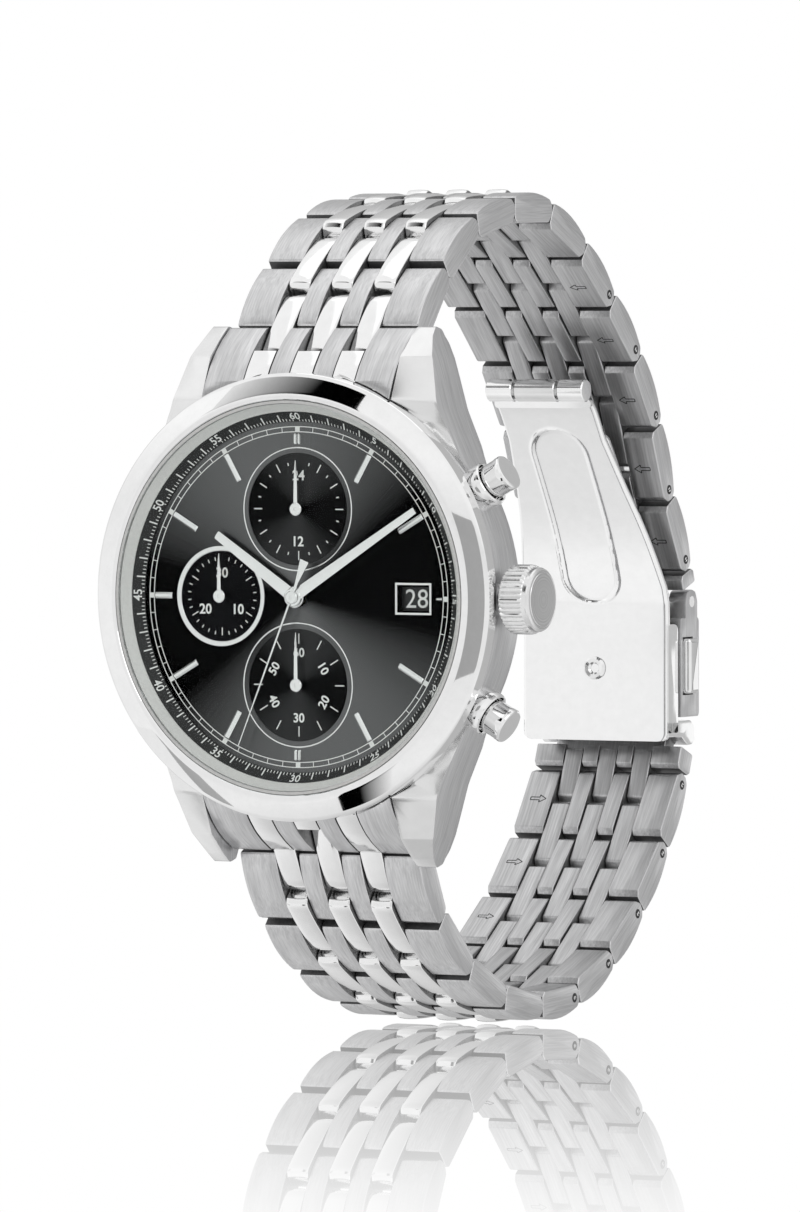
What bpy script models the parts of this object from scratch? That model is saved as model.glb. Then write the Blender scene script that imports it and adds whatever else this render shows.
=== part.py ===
"""Chronograph wristwatch with a seven-row steel bracelet and a fold-over clasp.

Frame: origin at the centre of the case back's outer face, +Z towards
12 o'clock, +X towards the crown, -Y out through the dial. Metres.
Lengths below are in millimetres and are scaled by MM when a shape is made.
Depths called `y` are measured from the dial's front face, positive towards
the wrist; BACK is the depth of the case back's outer face.
"""
import math
import bpy
import bmesh
from mathutils import Matrix, Vector

MM = 0.001

# ---- watch head -------------------------------------------------------------
BACK = 8.6              # dial face to the outer face of the case back
BEZEL_R = 20.9
BEZEL_EDGE_Y = -1.3     # widest edge of the bezel
BEZEL_TOP_Y = -2.2      # front rim round the crystal
GLASS_R = 18.05
CASE_R = 20.3
CASE_FRONT_Y = 0.45
CASE_REAR_Y = 5.9
CAVITY_R = 17.8
LUG_GAP_HALF = 10.1     # half the space between a pair of lugs
LUG_TIP_Z = 25.2
BAR_Y, BAR_Z = 3.3, 20.75    # spring bar axis
DIAL_R = 17.55
DIAL_T = 0.5
TRACK_R = 15.7
SUB_OFFSET = 8.2        # sub-dial centres from the dial centre
SUB_R_LARGE = 5.3
SUB_R_SMALL = 4.2
STEM_Y = 2.7            # depth of the crown and pusher axes
PUSHER_ANGLE = 29.5     # degrees above and below the crown
CROWN_PULL = 1.0
PUSH_TRAVEL = 0.9

# ---- bracelet ---------------------------------------------------------------
PITCH = 7.92            # from pin to pin
NEAR = 1.40             # outer row starts this far past the previous pin
FAR = 1.08              # and ends this far past its own pin
T_OUT = 1.6             # outer face above the pin line
T_IN = 1.3              # inner face below the pin line
FINGER_BACK = 2.25      # centre rows reach this far behind the previous pin
SLOT_BACK = 2.65
PIN_R = 0.5
BORE_R = 0.72
ROW_GAP = 0.12
MID_SHARE = 0.1215      # one polished row, as a share of the bracelet's width
BRUSH_SHARE = 0.115     # one narrow brushed row

# pins on the end links, as (y, z)
PIN_12 = (5.8, 23.4)
PIN_6 = (6.4, -22.5)
# slope of each link in the (y, z) plane with the bracelet closed, degrees
SLOPE_12 = (50.5, 37.0, 13.5, 1.0, -24.5, -38.0, -42.5, -54.5, -67.0, -61.0)
SLOPE_6 = (-63.5, -41.5, -26.0, -11.5, 3.0, 21.0, 34.5, 45.0, 55.0)
WIDTH_LUG = 19.8
WIDTH_CLASP = 16.0

# ---- clasp ------------------------------------------------------------------
COVER_PIN = (65.1, -2.1)
TOP_HINGE = (48.0, 18.8)
EAR_PIN = (64.65, -15.2)
COVER_Y = (62.8, 66.7)
COVER_Z = (-13.4, -3.7)
PLATE_T = 0.9

# ---- colours ----------------------------------------------------------------
STEEL = (0.62, 0.62, 0.63, 1)
POLISH = (0.78, 0.78, 0.79, 1)
BLACK = (0.012, 0.012, 0.013, 1)
WHITE = (0.85, 0.85, 0.84, 1)
BRASS = (0.62, 0.48, 0.22, 1)
GREEN = (0.03, 0.16, 0.08, 1)
GLASS = (0.9, 0.95, 1.0, 1)


for ob in list(bpy.data.objects):
    bpy.data.objects.remove(ob, do_unlink=True)

PARTS = bpy.data.collections.new("wristwatch")
CUTTERS = bpy.data.collections.new("cutters")
bpy.context.scene.collection.children.link(PARTS)
bpy.context.scene.collection.children.link(CUTTERS)


# ---- helpers ----------------------------------------------------------------
def material(name, colour, rough, metal, alpha=1.0):
    mat = bpy.data.materials.new(name)
    mat.use_nodes = True
    bsdf = mat.node_tree.nodes["Principled BSDF"]
    bsdf.inputs["Base Color"].default_value = colour
    bsdf.inputs["Roughness"].default_value = rough
    bsdf.inputs["Metallic"].default_value = metal
    bsdf.inputs["Alpha"].default_value = alpha
    mat.diffuse_color = colour
    return mat


def tidy(mesh):
    """Weld the loose seams of a converted shape and face it outwards."""
    bm = bmesh.new()
    bm.from_mesh(mesh)
    bmesh.ops.remove_doubles(bm, verts=bm.verts, dist=2e-6)
    bmesh.ops.dissolve_degenerate(bm, edges=bm.edges, dist=1e-6)
    bmesh.ops.recalc_face_normals(bm, faces=bm.faces)
    bm.to_mesh(mesh)
    bm.free()


def bake(ob):
    """Replace an object by the mesh that its curve or modifiers give."""
    bpy.context.view_layer.update()
    deps = bpy.context.evaluated_depsgraph_get()
    mesh = bpy.data.meshes.new_from_object(ob.evaluated_get(deps))
    tidy(mesh)
    new = bpy.data.objects.new(ob.name + "_mesh", mesh)
    CUTTERS.objects.link(new)
    new.matrix_world = ob.matrix_world.copy()
    name = ob.name
    bpy.data.objects.remove(ob, do_unlink=True)
    new.name = name
    return new


def extrusion(name, outline, lo, hi, matrix=None):
    """A flat outline in local XY, from lo to hi along local Z."""
    cu = bpy.data.curves.new(name, "CURVE")
    cu.dimensions = "2D"
    cu.fill_mode = "BOTH"
    sp = cu.splines.new("POLY")
    sp.points.add(len(outline) - 1)
    for p, (u, v) in zip(sp.points, outline):
        p.co = (u * MM, v * MM, 0, 1)
    sp.use_cyclic_u = True
    cu.extrude = (hi - lo) / 2 * MM
    ob = bpy.data.objects.new(name, cu)
    CUTTERS.objects.link(ob)
    ob = bake(ob)
    ob.data.transform(Matrix.Translation((0, 0, (lo + hi) / 2 * MM)))
    if matrix is not None:
        ob.matrix_world = matrix
    return ob


def turned(name, profile, steps, matrix=None):
    """A closed or axis-to-axis profile of (radius, height) turned about local Z."""
    mesh = bpy.data.meshes.new(name)
    n = len(profile)
    closed = not (profile[0][0] == 0 and profile[-1][0] == 0)
    edges = [(i, i + 1) for i in range(n - 1)] + ([(n - 1, 0)] if closed else [])
    mesh.from_pydata([(r * MM, 0, h * MM) for r, h in profile], edges, [])
    ob = bpy.data.objects.new(name, mesh)
    CUTTERS.objects.link(ob)
    mod = ob.modifiers.new("turn", "SCREW")
    mod.axis = "Z"
    mod.angle = 2 * math.pi
    mod.steps = steps
    mod.render_steps = steps
    mod.use_merge_vertices = True
    mod.merge_threshold = 2e-6
    ob = bake(ob)
    if matrix is not None:
        ob.matrix_world = matrix
    return ob


def cylinder(name, radius, lo, hi, sides, matrix=None):
    bm = bmesh.new()
    bmesh.ops.create_cone(bm, cap_ends=True, segments=sides, radius1=radius * MM,
                          radius2=radius * MM, depth=(hi - lo) * MM)
    bmesh.ops.translate(bm, verts=bm.verts, vec=(0, 0, (lo + hi) / 2 * MM))
    mesh = bpy.data.meshes.new(name)
    bm.to_mesh(mesh)
    bm.free()
    ob = bpy.data.objects.new(name, mesh)
    CUTTERS.objects.link(ob)
    if matrix is not None:
        ob.matrix_world = matrix
    return ob


def box(name, lo, hi, matrix=None):
    bm = bmesh.new()
    bmesh.ops.create_cube(bm, size=1.0)
    bmesh.ops.scale(bm, verts=bm.verts, vec=[(b - a) * MM for a, b in zip(lo, hi)])
    bmesh.ops.translate(bm, verts=bm.verts, vec=[(a + b) / 2 * MM for a, b in zip(lo, hi)])
    mesh = bpy.data.meshes.new(name)
    bm.to_mesh(mesh)
    bm.free()
    ob = bpy.data.objects.new(name, mesh)
    CUTTERS.objects.link(ob)
    if matrix is not None:
        ob.matrix_world = matrix
    return ob


def combine(ob, others, operation):
    """Boolean each of the others into ob, then drop them."""
    for other in others:
        bpy.context.view_layer.update()
        mod = ob.modifiers.new("bool", "BOOLEAN")
        mod.operation = operation
        mod.solver = "EXACT"
        mod.object = other
        deps = bpy.context.evaluated_depsgraph_get()
        mesh = bpy.data.meshes.new_from_object(ob.evaluated_get(deps))
        ob.modifiers.remove(mod)
        ob.data = mesh
        bpy.data.objects.remove(other, do_unlink=True)
    return ob


def cut(ob, *others):
    return combine(ob, others, "DIFFERENCE")


def join(ob, *others):
    return combine(ob, others, "UNION")


def part(ob, name, mat, smooth=True):
    """Finish a piece: name it, give it its material, file it with the parts."""
    tidy(ob.data)
    ob.name = name
    ob.data.name = name
    CUTTERS.objects.unlink(ob)
    PARTS.objects.link(ob)
    ob.data.materials.clear()
    ob.data.materials.append(mat)
    if smooth:
        ob.data.shade_smooth()
        ob.data.set_sharp_from_angle(angle=math.radians(32))
    return ob


def at(x, y, z):
    """World point of a place given by its depth below the dial face."""
    return Vector((x * MM, (y - BACK) * MM, z * MM))


def frame(ex, ey, ez, origin):
    m = Matrix((ex, ey, ez)).transposed().to_4x4()
    m.translation = origin
    return m


X, Y, Z = Vector((1, 0, 0)), Vector((0, 1, 0)), Vector((0, 0, 1))
ALONG_Y = frame(X, -Z, Y, at(0, 0, 0))      # local Z is depth y
SIDE = frame(Y, Z, X, at(0, 0, 0))          # local (x, y, z) is (y, z, x)


def across(y, z):
    """Local Z along the bracelet's width, at a given (y, z)."""
    return frame(Y, Z, X, at(0, y, z))


def radial(angle):
    """Local Z outwards in the case plane, `angle` degrees from the crown."""
    a = math.radians(angle)
    out = Vector((math.cos(a), 0, math.sin(a)))
    return frame(Y, out.cross(Y), out, at(0, STEM_Y, 0))


def dial_turn(angle, x=0.0, z=0.0, y=0.0):
    """Local Y towards `angle` degrees clockwise from 12, local Z to the viewer."""
    a = math.radians(angle)
    up = Vector((math.sin(a), 0, math.cos(a)))
    return frame(Vector((math.cos(a), 0, -math.sin(a))), up, -Y, at(x, y, z))


M_BRUSHED = material("brushed_steel", STEEL, 0.35, 1.0)


def steel(name):
    return material(name, STEEL, 0.33, 1.0)


def polished(name):
    return material(name, POLISH, 0.08, 1.0)


# ---- case ---------------------------------------------------------------------
case = turned("case", [(CAVITY_R, CASE_FRONT_Y), (CASE_R, CASE_FRONT_Y),
                       (CASE_R, CASE_REAR_Y), (CAVITY_R, CASE_REAR_Y)], 40, ALONG_Y)
lug_side = [(0.6, 11.0), (-0.4, 17.5), (-0.3, 18.6), (1.3, 22.0), (3.7, 24.25), (4.9, LUG_TIP_Z),
            (6.1, 24.9), (6.8, 23.6), (6.9, 20.5), (6.9, 14.0), (5.7, 11.0)]
lug_plan = [(LUG_GAP_HALF, 9.0), (LUG_GAP_HALF, 27.0), (13.2, 27.0), (13.75, 21.5), (15.2, 16.5),
            (16.1, 13.0), (15.8, 9.0)]
for sx in (1, -1):
    for sz in (1, -1):
        side = extrusion("lug", [(y, sz * z) for y, z in lug_side], sx * 9.0 if sx > 0 else -18.5,
                         18.5 if sx > 0 else -9.0, SIDE)
        plan = extrusion("lug_plan", [(sx * x, sz * z) for x, z in lug_plan], -12, 12,
                         frame(X, Z, -Y, at(0, 0, 0)))
        combine(side, [plan], "INTERSECT")
        join(case, side)
cut(case, cylinder("cavity", CAVITY_R, -5, 12, 40, ALONG_Y),
    cylinder("bezel_room", BEZEL_R + 0.15, -6, CASE_FRONT_Y - 0.002, 40, ALONG_Y),
    cylinder("back_room", 19.45, CASE_REAR_Y + 0.002, 12, 40, ALONG_Y),
    turned("gasket_groove", [(18.15, 5.65), (18.95, 5.65), (18.95, 7), (18.15, 7)], 40, ALONG_Y),
    cylinder("bar_holes_12", 0.6, -11.4, 11.4, 10, across(BAR_Y, BAR_Z)),
    cylinder("bar_holes_6", 0.6, -11.4, 11.4, 10, across(BAR_Y, -BAR_Z)),
    cylinder("crown_hole", 1.3, 15, 23, 16, radial(0)),
    box("end_link_room_12", (-LUG_GAP_HALF, -4, 19.2), (LUG_GAP_HALF, 9, 30), Matrix.Translation(at(0, 0, 0))),
    box("end_link_room_6", (-LUG_GAP_HALF, -4, -30), (LUG_GAP_HALF, 9, -19.2), Matrix.Translation(at(0, 0, 0))))
for ang in (PUSHER_ANGLE, -PUSHER_ANGLE):
    cut(case, cylinder("pusher_hole", 0.75, 15, 23, 12, radial(ang)),
        cylinder("pusher_bore", 1.5, 19.0, 23, 16, radial(ang)))
part(case, "case_middle", steel("case_middle"))

bezel = turned("bezel", [(17.9, 0.3), (BEZEL_R - 0.3, 0.3), (BEZEL_R, 0.0), (BEZEL_R, BEZEL_EDGE_Y),
                         (BEZEL_R - 0.45, -1.72), (18.75, BEZEL_TOP_Y), (18.45, -2.05),
                         (18.45, -1.35), (17.9, -1.35)], 44, ALONG_Y)
part(bezel, "bezel", polished("bezel"))

crystal = turned("crystal", [(0, -1.5), (GLASS_R, -1.5), (GLASS_R, -2.2), (GLASS_R - 0.15, -2.38), (0, -2.4)],
                 40, ALONG_Y)
part(crystal, "crystal", material("crystal", GLASS, 0.02, 0.0, 0.15))
part(turned("cg", [(GLASS_R + 0.07, -1.42), (18.38, -1.42), (18.38, -1.95), (GLASS_R + 0.07, -1.95)], 40, ALONG_Y),
     "crystal_gasket", material("crystal_gasket", BLACK, 0.6, 0.0))
part(turned("rh", [(16.35, -0.08), (17.75, -0.08), (17.75, -1.22), (17.45, -1.22)], 40, ALONG_Y),
     "scale_ring", material("scale_ring", BLACK, 0.4, 0.0))

back = turned("back", [(0, 7.3), (16.4, 7.3), (16.4, 6.02), (19.3, 6.02), (19.3, 7.0), (18.6, 7.9),
                       (17.2, 8.35), (16.6, BACK), (0, BACK)], 40, ALONG_Y)
part(back, "case_back", steel("case_back"))
part(turned("bg", [(18.3, 5.7), (18.8, 5.7), (18.8, 5.96), (18.3, 5.96)], 40, ALONG_Y),
     "case_back_gasket", material("case_back_gasket", BLACK, 0.6, 0.0))

# ---- dial ---------------------------------------------------------------------
dial = cylinder("dial", DIAL_R, 0, DIAL_T, 48, ALONG_Y)
SUBS = {"24": (0, SUB_OFFSET, SUB_R_LARGE), "60": (0, -SUB_OFFSET, SUB_R_LARGE),
        "30": (-SUB_OFFSET, 0, SUB_R_SMALL)}
for key, (sx, sz, sr) in SUBS.items():
    ring = turned("ring", [(sr, 0.1), (sr + 0.5, 0.1), (sr + 0.5, -0.12), (sr, -0.12)], 28,
                  frame(X, -Z, Y, at(sx, 0, sz)))
    join(dial, ring)
for key, (sx, sz, sr) in SUBS.items():
    cut(dial, cylinder("recess", sr, -0.05, 0.22, 28, frame(X, -Z, Y, at(sx, 0, sz))),
        cylinder("arbor", 0.4, -1, 1, 8, frame(X, -Z, Y, at(sx, 0, sz))))


def baton(angle, inner, outer, width, shift=0.0):
    return box("baton", (shift - width / 2, inner, -0.1), (shift + width / 2, outer, 0.22),
               dial_turn(angle))


for hour in (1, 2, 4, 5, 7, 8, 10, 11):
    join(dial, baton(30 * hour, 12.45, 15.25, 0.6))
join(dial, baton(270, 13.4, 15.25, 0.6))
join(dial, baton(90, 14.75, 15.3, 0.6))
for hour in (0, 6):
    for s in (-0.62, 0.62):
        join(dial, baton(30 * hour, 14.3, 15.25, 0.6, s))
window = box("window", (10.35, -0.16, -1.5), (14.25, 0.1, 1.5), Matrix.Translation(at(0, 0, 0)))
join(dial, window)
cut(dial, box("hole", (10.75, -1, -1.1), (13.85, 1, 1.1), Matrix.Translation(at(0, 0, 0))),
    cylinder("centre", 0.95, -1, 1, 12, ALONG_Y))
part(dial, "dial", material("dial", BLACK, 0.35, 0.2))

# ---- hands ----------------------------------------------------------------------
def hand(name, outline, y0, thick, angle, x, z, hub, arbor, bore, foot):
    """A flat hand with a round hub, on an arbor or tube that goes down through the dial."""
    m = dial_turn(angle, x, z)
    blade = extrusion(name, outline, -(y0 + thick), -y0, m)
    disc = cylinder("hub", hub, -(y0 + thick) - 0.03, -y0 + 0.03, 16, m)
    join(blade, disc)
    join(blade, cylinder("arbor", arbor, -foot, -(y0 + thick) + 0.05, 10, m))
    if bore:
        cut(blade, cylinder("bore", bore, -foot - 1, 3, 10, m))
    return part(blade, name, polished(name))


def lance(length, root, tip, tail=0.0):
    return [(-root, -tail), (root, -tail), (tip, length * 0.97), (0, length), (-tip, length * 0.97)]


hand("hour_hand", lance(10.1, 0.55, 0.42, 0.6), -0.62, 0.12, 304.8, 0, 0, 1.05, 0.82, 0.66, 0.95)
hand("minute_hand", lance(15.3, 0.5, 0.3, 0.6), -0.90, 0.12, 57.5, 0, 0, 0.95, 0.55, 0.40, 1.10)
chrono = [(-0.28, -3.7), (0.28, -3.7), (0.5, -3.2), (0.17, -1.6), (0.09, 0), (0.05, 15.1), (-0.05, 15.1),
          (-0.09, 0), (-0.17, -1.6), (-0.5, -3.2)]
hand("chrono_seconds_hand", chrono, -1.18, 0.12, 202.3, 0, 0, 0.8, 0.28, 0, 1.3)
hand("hand_24_hour", lance(4.5, 0.3, 0.12, 1.0), -0.38, 0.1, 0, 0, SUB_OFFSET, 0.6, 0.22, 0, 1.2)
hand("hand_30_minute", lance(3.95, 0.3, 0.12, 1.0), -0.38, 0.1, 0, -SUB_OFFSET, 0, 0.6, 0.22, 0, 1.2)
hand("hand_60_second", lance(4.9, 0.3, 0.12, 1.0), -0.38, 0.1, 0, 0, -SUB_OFFSET, 0.6, 0.22, 0, 1.2)

# ---- movement ---------------------------------------------------------------------
part(turned("dr", [(9.9, 0.6), (14.4, 0.6), (14.4, 0.8), (9.9, 0.8)], 40, ALONG_Y),
     "date_ring", material("date_ring", BLACK, 0.5, 0.0))
plate = cylinder("plate", 15.3, 0.95, 4.6, 40, ALONG_Y)
cut(plate, cylinder("centre", 1.0, 0, 6, 12, ALONG_Y),
    cylinder("stem_bore", 0.75, 8.0, 20, 12, radial(0)),
    box("lever_pocket", (10.6, 1.2, -2.2), (13.6, 4.2, 2.2), Matrix.Translation(at(0, 0, 0))))
for key, (sx, sz, sr) in SUBS.items():
    cut(plate, cylinder("arbor", 0.4, 0, 6, 8, frame(X, -Z, Y, at(sx, 0, sz))))
part(plate, "movement_plate", material("movement_plate", BRASS, 0.35, 1.0))
holder = turned("holder", [(15.45, 0.6), (17.55, 0.6), (17.55, 5.6), (15.45, 5.6)], 40, ALONG_Y)
cut(holder, cylinder("stem_gap", 1.1, 10, 20, 12, radial(0)),
    cylinder("push_gap_2", 1.0, 14, 20, 12, radial(PUSHER_ANGLE)),
    cylinder("push_gap_4", 1.0, 14, 20, 12, radial(-PUSHER_ANGLE)))
part(holder, "movement_holder", material("movement_holder", WHITE, 0.5, 0.0))
part(cylinder("bat", 4.75, 4.75, 5.85, 24, frame(X, -Z, Y, at(6.0, 0, -6.5))), "battery",
     polished("battery"))
board = extrusion("board", [(-3, 12.5), (-9, 9.5), (-12.5, 3), (-12.5, -3), (-9, -9.5), (-3, -12.5),
                            (-1.2, -12.5), (-1.2, -1.6), (1.6, 1.6), (9, 1.6), (9, 9.5), (3, 12.5)],
                  -5.2, -4.75, frame(X, Z, -Y, at(0, 0, 0)))
part(board, "circuit_board", material("circuit_board", GREEN, 0.45, 0.0))

# ---- crown and pushers ---------------------------------------------------------------
crown_axis = radial(0)
part(turned("ct", [(0.8, 17.9), (1.15, 17.9), (1.15, 21.7), (0.8, 21.7)], 16, crown_axis),
     "crown_tube", steel("crown_tube"))
teeth = 24
grip = [((3.22 if i % 2 == 0 else 2.98) * math.cos(math.pi * i / teeth),
         (3.22 if i % 2 == 0 else 2.98) * math.sin(math.pi * i / teeth)) for i in range(2 * teeth)]
crown = extrusion("crown", grip, 21.1, 24.0, crown_axis)
join(crown, turned("cap", [(0, 23.7), (2.9, 23.7), (2.9, 24.1), (2.5, 24.4), (0, 24.45)], 24, crown_axis))
cut(crown, cylinder("bore", 1.4, 20, 22.6, 20, crown_axis))
part(crown, "crown", polished("crown"))
stem = cylinder("stem", 0.5, 9.0, 22.5, 12, crown_axis)
join(stem, cylinder("collar1", 0.68, 12.45, 12.85, 12, crown_axis),
     cylinder("collar2", 0.68, 11.35, 11.75, 12, crown_axis))
part(stem, "crown_stem", steel("crown_stem"))
lever = box("lever", (11.82, 1.75, -1.7), (12.38, 3.65, 1.7), Matrix.Translation(at(0, 0, 0)))
cut(lever, cylinder("lever_bore", 0.58, 10, 14, 12, crown_axis))
part(lever, "setting_lever", steel("setting_lever"))


def pusher(tag, ang):
    m = radial(ang)
    part(turned("tube", [(1.42, 20.5), (2.1, 20.5), (2.1, 21.9), (1.82, 21.9), (1.82, 20.8), (1.42, 20.8)], 20, m),
         "pusher_tube_" + tag, steel("pusher_tube_" + tag))
    body = turned("pusher", [(0, 17.1), (0.5, 17.1), (0.5, 21.75), (1.7, 21.75), (1.7, 23.75), (1.5, 23.95), (0, 24.0)],
                  20, m)
    part(body, "pusher_" + tag, polished("pusher_" + tag))
    turns, per = 2.5, 10
    cu = bpy.data.curves.new("spring", "CURVE")
    cu.dimensions = "3D"
    cu.bevel_depth = 0.17 * MM
    cu.bevel_resolution = 1
    cu.use_fill_caps = True
    sp = cu.splines.new("POLY")
    count = int(turns * per) + 1
    sp.points.add(count - 1)
    for i, p in enumerate(sp.points):
        a = 2 * math.pi * i / per
        h = 19.25 + 1.2 * i / (count - 1)
        p.co = (0.95 * math.cos(a) * MM, 0.95 * math.sin(a) * MM, h * MM, 1)
    ob = bpy.data.objects.new("spring", cu)
    CUTTERS.objects.link(ob)
    ob = bake(ob)
    ob.matrix_world = m
    part(ob, "pusher_spring_" + tag, steel("pusher_spring_" + tag))


pusher("2", PUSHER_ANGLE)
pusher("4", -PUSHER_ANGLE)

# ---- bracelet ------------------------------------------------------------------------
def width_of(index, count):
    """Bracelet width at a link; index 0 is the end link."""
    return WIDTH_LUG + (WIDTH_CLASP - WIDTH_LUG) * min(1.0, index / (count + 1.0)) ** 0.8


def rows(width):
    """Centres of the three polished rows and the half width of one."""
    mid, brush = MID_SHARE * width, BRUSH_SHARE * width
    return (-(mid + brush), 0.0, mid + brush), mid / 2


def link_outline(length, near=NEAR):
    far = length + FAR
    m = (near + far) / 2
    return [(near, -T_IN + 0.55), (near + 0.55, -T_IN), (far - 0.8, -T_IN), (far, -0.45), (far, 0.6),
            (far - 0.8, T_OUT - 0.22), (m, T_OUT), (near + 0.35, T_OUT - 0.28), (near, T_OUT - 0.6)]


def finger_outline(reach):
    b = FINGER_BACK
    return [(-b, -0.5), (-b + 0.55, -1.12), (reach, -1.12), (reach, 1.2), (-b + 0.5, 1.22), (-b, 0.6)]


def add_slots(ob, width, length, m):
    centres, half = rows(width)
    for c in centres:
        cut(ob, box("slot", (length - SLOT_BACK, -5, c - half - ROW_GAP), (length + 5, 5, c + half + ROW_GAP), m))


def add_fingers(ob, width, m, bore=True):
    centres, half = rows(width)
    for c in centres:
        f = extrusion("finger", finger_outline(3.2), c - half, c + half, m)
        if bore:
            cut(f, cylinder("bore", BORE_R, c - half - 1, c + half + 1, 6, m))
        join(ob, f)


def link_frame(pin, slope, sign):
    """Local X along the link, local Y outwards, origin on the previous pin."""
    a = math.radians(slope)
    d = Vector((0, math.cos(a), math.sin(a)))
    n = Vector((0, -math.sin(a), math.cos(a))) * sign
    return frame(d, n, d.cross(n), at(0, pin[0], pin[1]))


def next_pin(pin, slope, length=PITCH):
    a = math.radians(slope)
    return (pin[0] + length * math.cos(a), pin[1] + length * math.sin(a))


def chain(prefix, pin, slopes, sign, open_end):
    """Build the links of one side and return the last pin and its width."""
    count = len(slopes)
    for i, slope in enumerate(slopes, 1):
        m = link_frame(pin, slope, sign)
        w, w_prev = width_of(i, count), width_of(i - 1, count)
        body = extrusion("link", link_outline(PITCH), -w / 2, w / 2, m)
        add_slots(body, w, PITCH, m)
        if not (open_end and i == count):
            p = m @ Matrix.Translation((PITCH * MM, 0, 0))
            join(body, cylinder("pin", PIN_R, -w / 2 + 0.3, w / 2 - 0.3, 6, p))
        add_fingers(body, w_prev, m)
        part(body, "%s_%02d" % (prefix, i), steel("%s_%02d" % (prefix, i)))
        pin = next_pin(pin, slope)
    return pin, width_of(count, count)


def end_link(name, pin, sign, slope):
    """Fills the space between a pair of lugs and carries the first pin."""
    y0, z0 = pin
    s = sign
    a = math.radians(slope * s)
    d, n = (math.cos(a), math.sin(a)), (-math.sin(a), math.cos(a))

    def local(u, v):
        return (y0 + u * d[0] + v * n[0], s * z0 + u * d[1] + v * n[1])

    front, end = (-0.7, 18.3), local(-0.8, 1.52)
    crown = []
    for f, bulge in ((0.25, 0.35), (0.5, 0.5), (0.75, 0.35)):
        crown.append((front[0] + f * (end[0] - front[0]) - bulge * 0.7,
                      front[1] + f * (end[1] - front[1]) + bulge * 0.7))
    outline = ([(-0.6, 17.0), front] + crown
               + [end, local(0.5, 1.42), local(0.95, 1.1), local(FAR, 0.5), local(FAR, -0.3), local(0.75, -1.0),
                  local(0.1, -T_IN), (6.2, 20.4), (6.0, 17.0)])
    ob = extrusion("end", [(y, s * z) for y, z in outline], -WIDTH_LUG / 2 - 0.05, WIDTH_LUG / 2 + 0.05, SIDE)
    cut(ob, box("case_room", (-15, -9, -19.35), (15, 20, 19.35), Matrix.Translation(at(0, 0, 0))),
        cylinder("bezel_room", BEZEL_R + 0.15, -6, CASE_FRONT_Y + 0.1, 40, ALONG_Y),
        cylinder("bar_bore", 0.85, -15, 15, 10, across(BAR_Y, s * BAR_Z)))
    centres, half = rows(WIDTH_LUG)
    m = link_frame(pin, slope, s)
    for c in centres:
        cut(ob, box("slot", (-SLOT_BACK, -6, c - half - ROW_GAP), (5, 6, c + half + ROW_GAP), m))
    join(ob, cylinder("pin", PIN_R, -WIDTH_LUG / 2 + 0.3, WIDTH_LUG / 2 - 0.3, 6, m))
    part(ob, name, steel(name))
    bar = turned("bar", [(0, -11.2), (0.45, -11.2), (0.45, -9.6), (0.72, -9.6), (0.72, 9.6), (0.45, 9.6), (0.45, 11.2),
                         (0, 11.2)], 10, across(BAR_Y, s * BAR_Z))
    part(bar, name.replace("end_link", "spring_bar"), steel(name + "_bar"))


end_link("end_link_12", PIN_12, 1, SLOPE_12[0])
end_link("end_link_6", PIN_6, -1, SLOPE_6[0])
last_12, width_12 = chain("link_12", PIN_12, SLOPE_12, 1, False)
last_6, width_6 = chain("link_6", PIN_6, SLOPE_6, -1, True)


# ---- clasp ---------------------------------------------------------------------------
def half_link(name, pin, prev_width, target, sign, bore):
    """A short link from the last full link's pin to a pin of the clasp."""
    dy, dz = target[0] - pin[0], target[1] - pin[1]
    length = math.hypot(dy, dz)
    slope = math.degrees(math.atan2(dz, dy))
    m = link_frame(pin, slope, sign)
    w = WIDTH_CLASP
    cols = length - 1.6
    body = extrusion("half", [(NEAR, -0.75), (NEAR + 0.4, -T_IN + 0.1), (cols, -T_IN + 0.1), (cols, T_OUT - 0.15),
                              (NEAR + 0.3, T_OUT - 0.15), (NEAR, T_OUT - 0.6)], -w / 2, w / 2, m)
    add_fingers_short(body, prev_width, m, cols - 0.3, bore)
    return body, m, length, w


def add_fingers_short(ob, width, m, reach, bore):
    centres, half = rows(width)
    for c in centres:
        f = extrusion("finger", finger_outline(reach), c - half, c + half, m)
        if bore:
            cut(f, cylinder("bore", BORE_R, c - half - 1, c + half + 1, 6, m))
        join(ob, f)


# 12 o'clock half link: tongue with the cover pin
half12, m12, len12, w12 = half_link("half_link_12", last_12, width_12, COVER_PIN, 1, True)
tongue = extrusion("tongue", [(len12 - 2.2, -0.95), (len12 + 0.5, -0.95), (len12 + 0.95, -0.4), (len12 + 0.95, 0.4),
                              (len12 + 0.5, 0.95), (len12 - 2.2, 0.95)], -2.3, 2.3, m12)
join(half12, tongue)
join(half12, cylinder("pin", PIN_R, -7.8, 7.8, 8, m12 @ Matrix.Translation((len12 * MM, 0, 0))))
part(half12, "half_link_12", steel("half_link_12"))

# 6 o'clock half link: fingers into the last link, tongue on the plate's ear pin
half6, m6, len6, w6 = half_link("half_link_6", last_6, width_6, EAR_PIN, -1, False)
tongue = extrusion("tongue", [(len6 - 2.2, -0.95), (len6 + 0.5, -0.95), (len6 + 0.95, -0.4), (len6 + 0.95, 0.4),
                              (len6 + 0.5, 0.95), (len6 - 2.2, 0.95)], -6.0, 6.0, m6)
cut(tongue, cylinder("bore", BORE_R, -8, 8, 8, m6 @ Matrix.Translation((len6 * MM, 0, 0))))
join(half6, tongue)
part(half6, "half_link_6", steel("half_link_6"))

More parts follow.
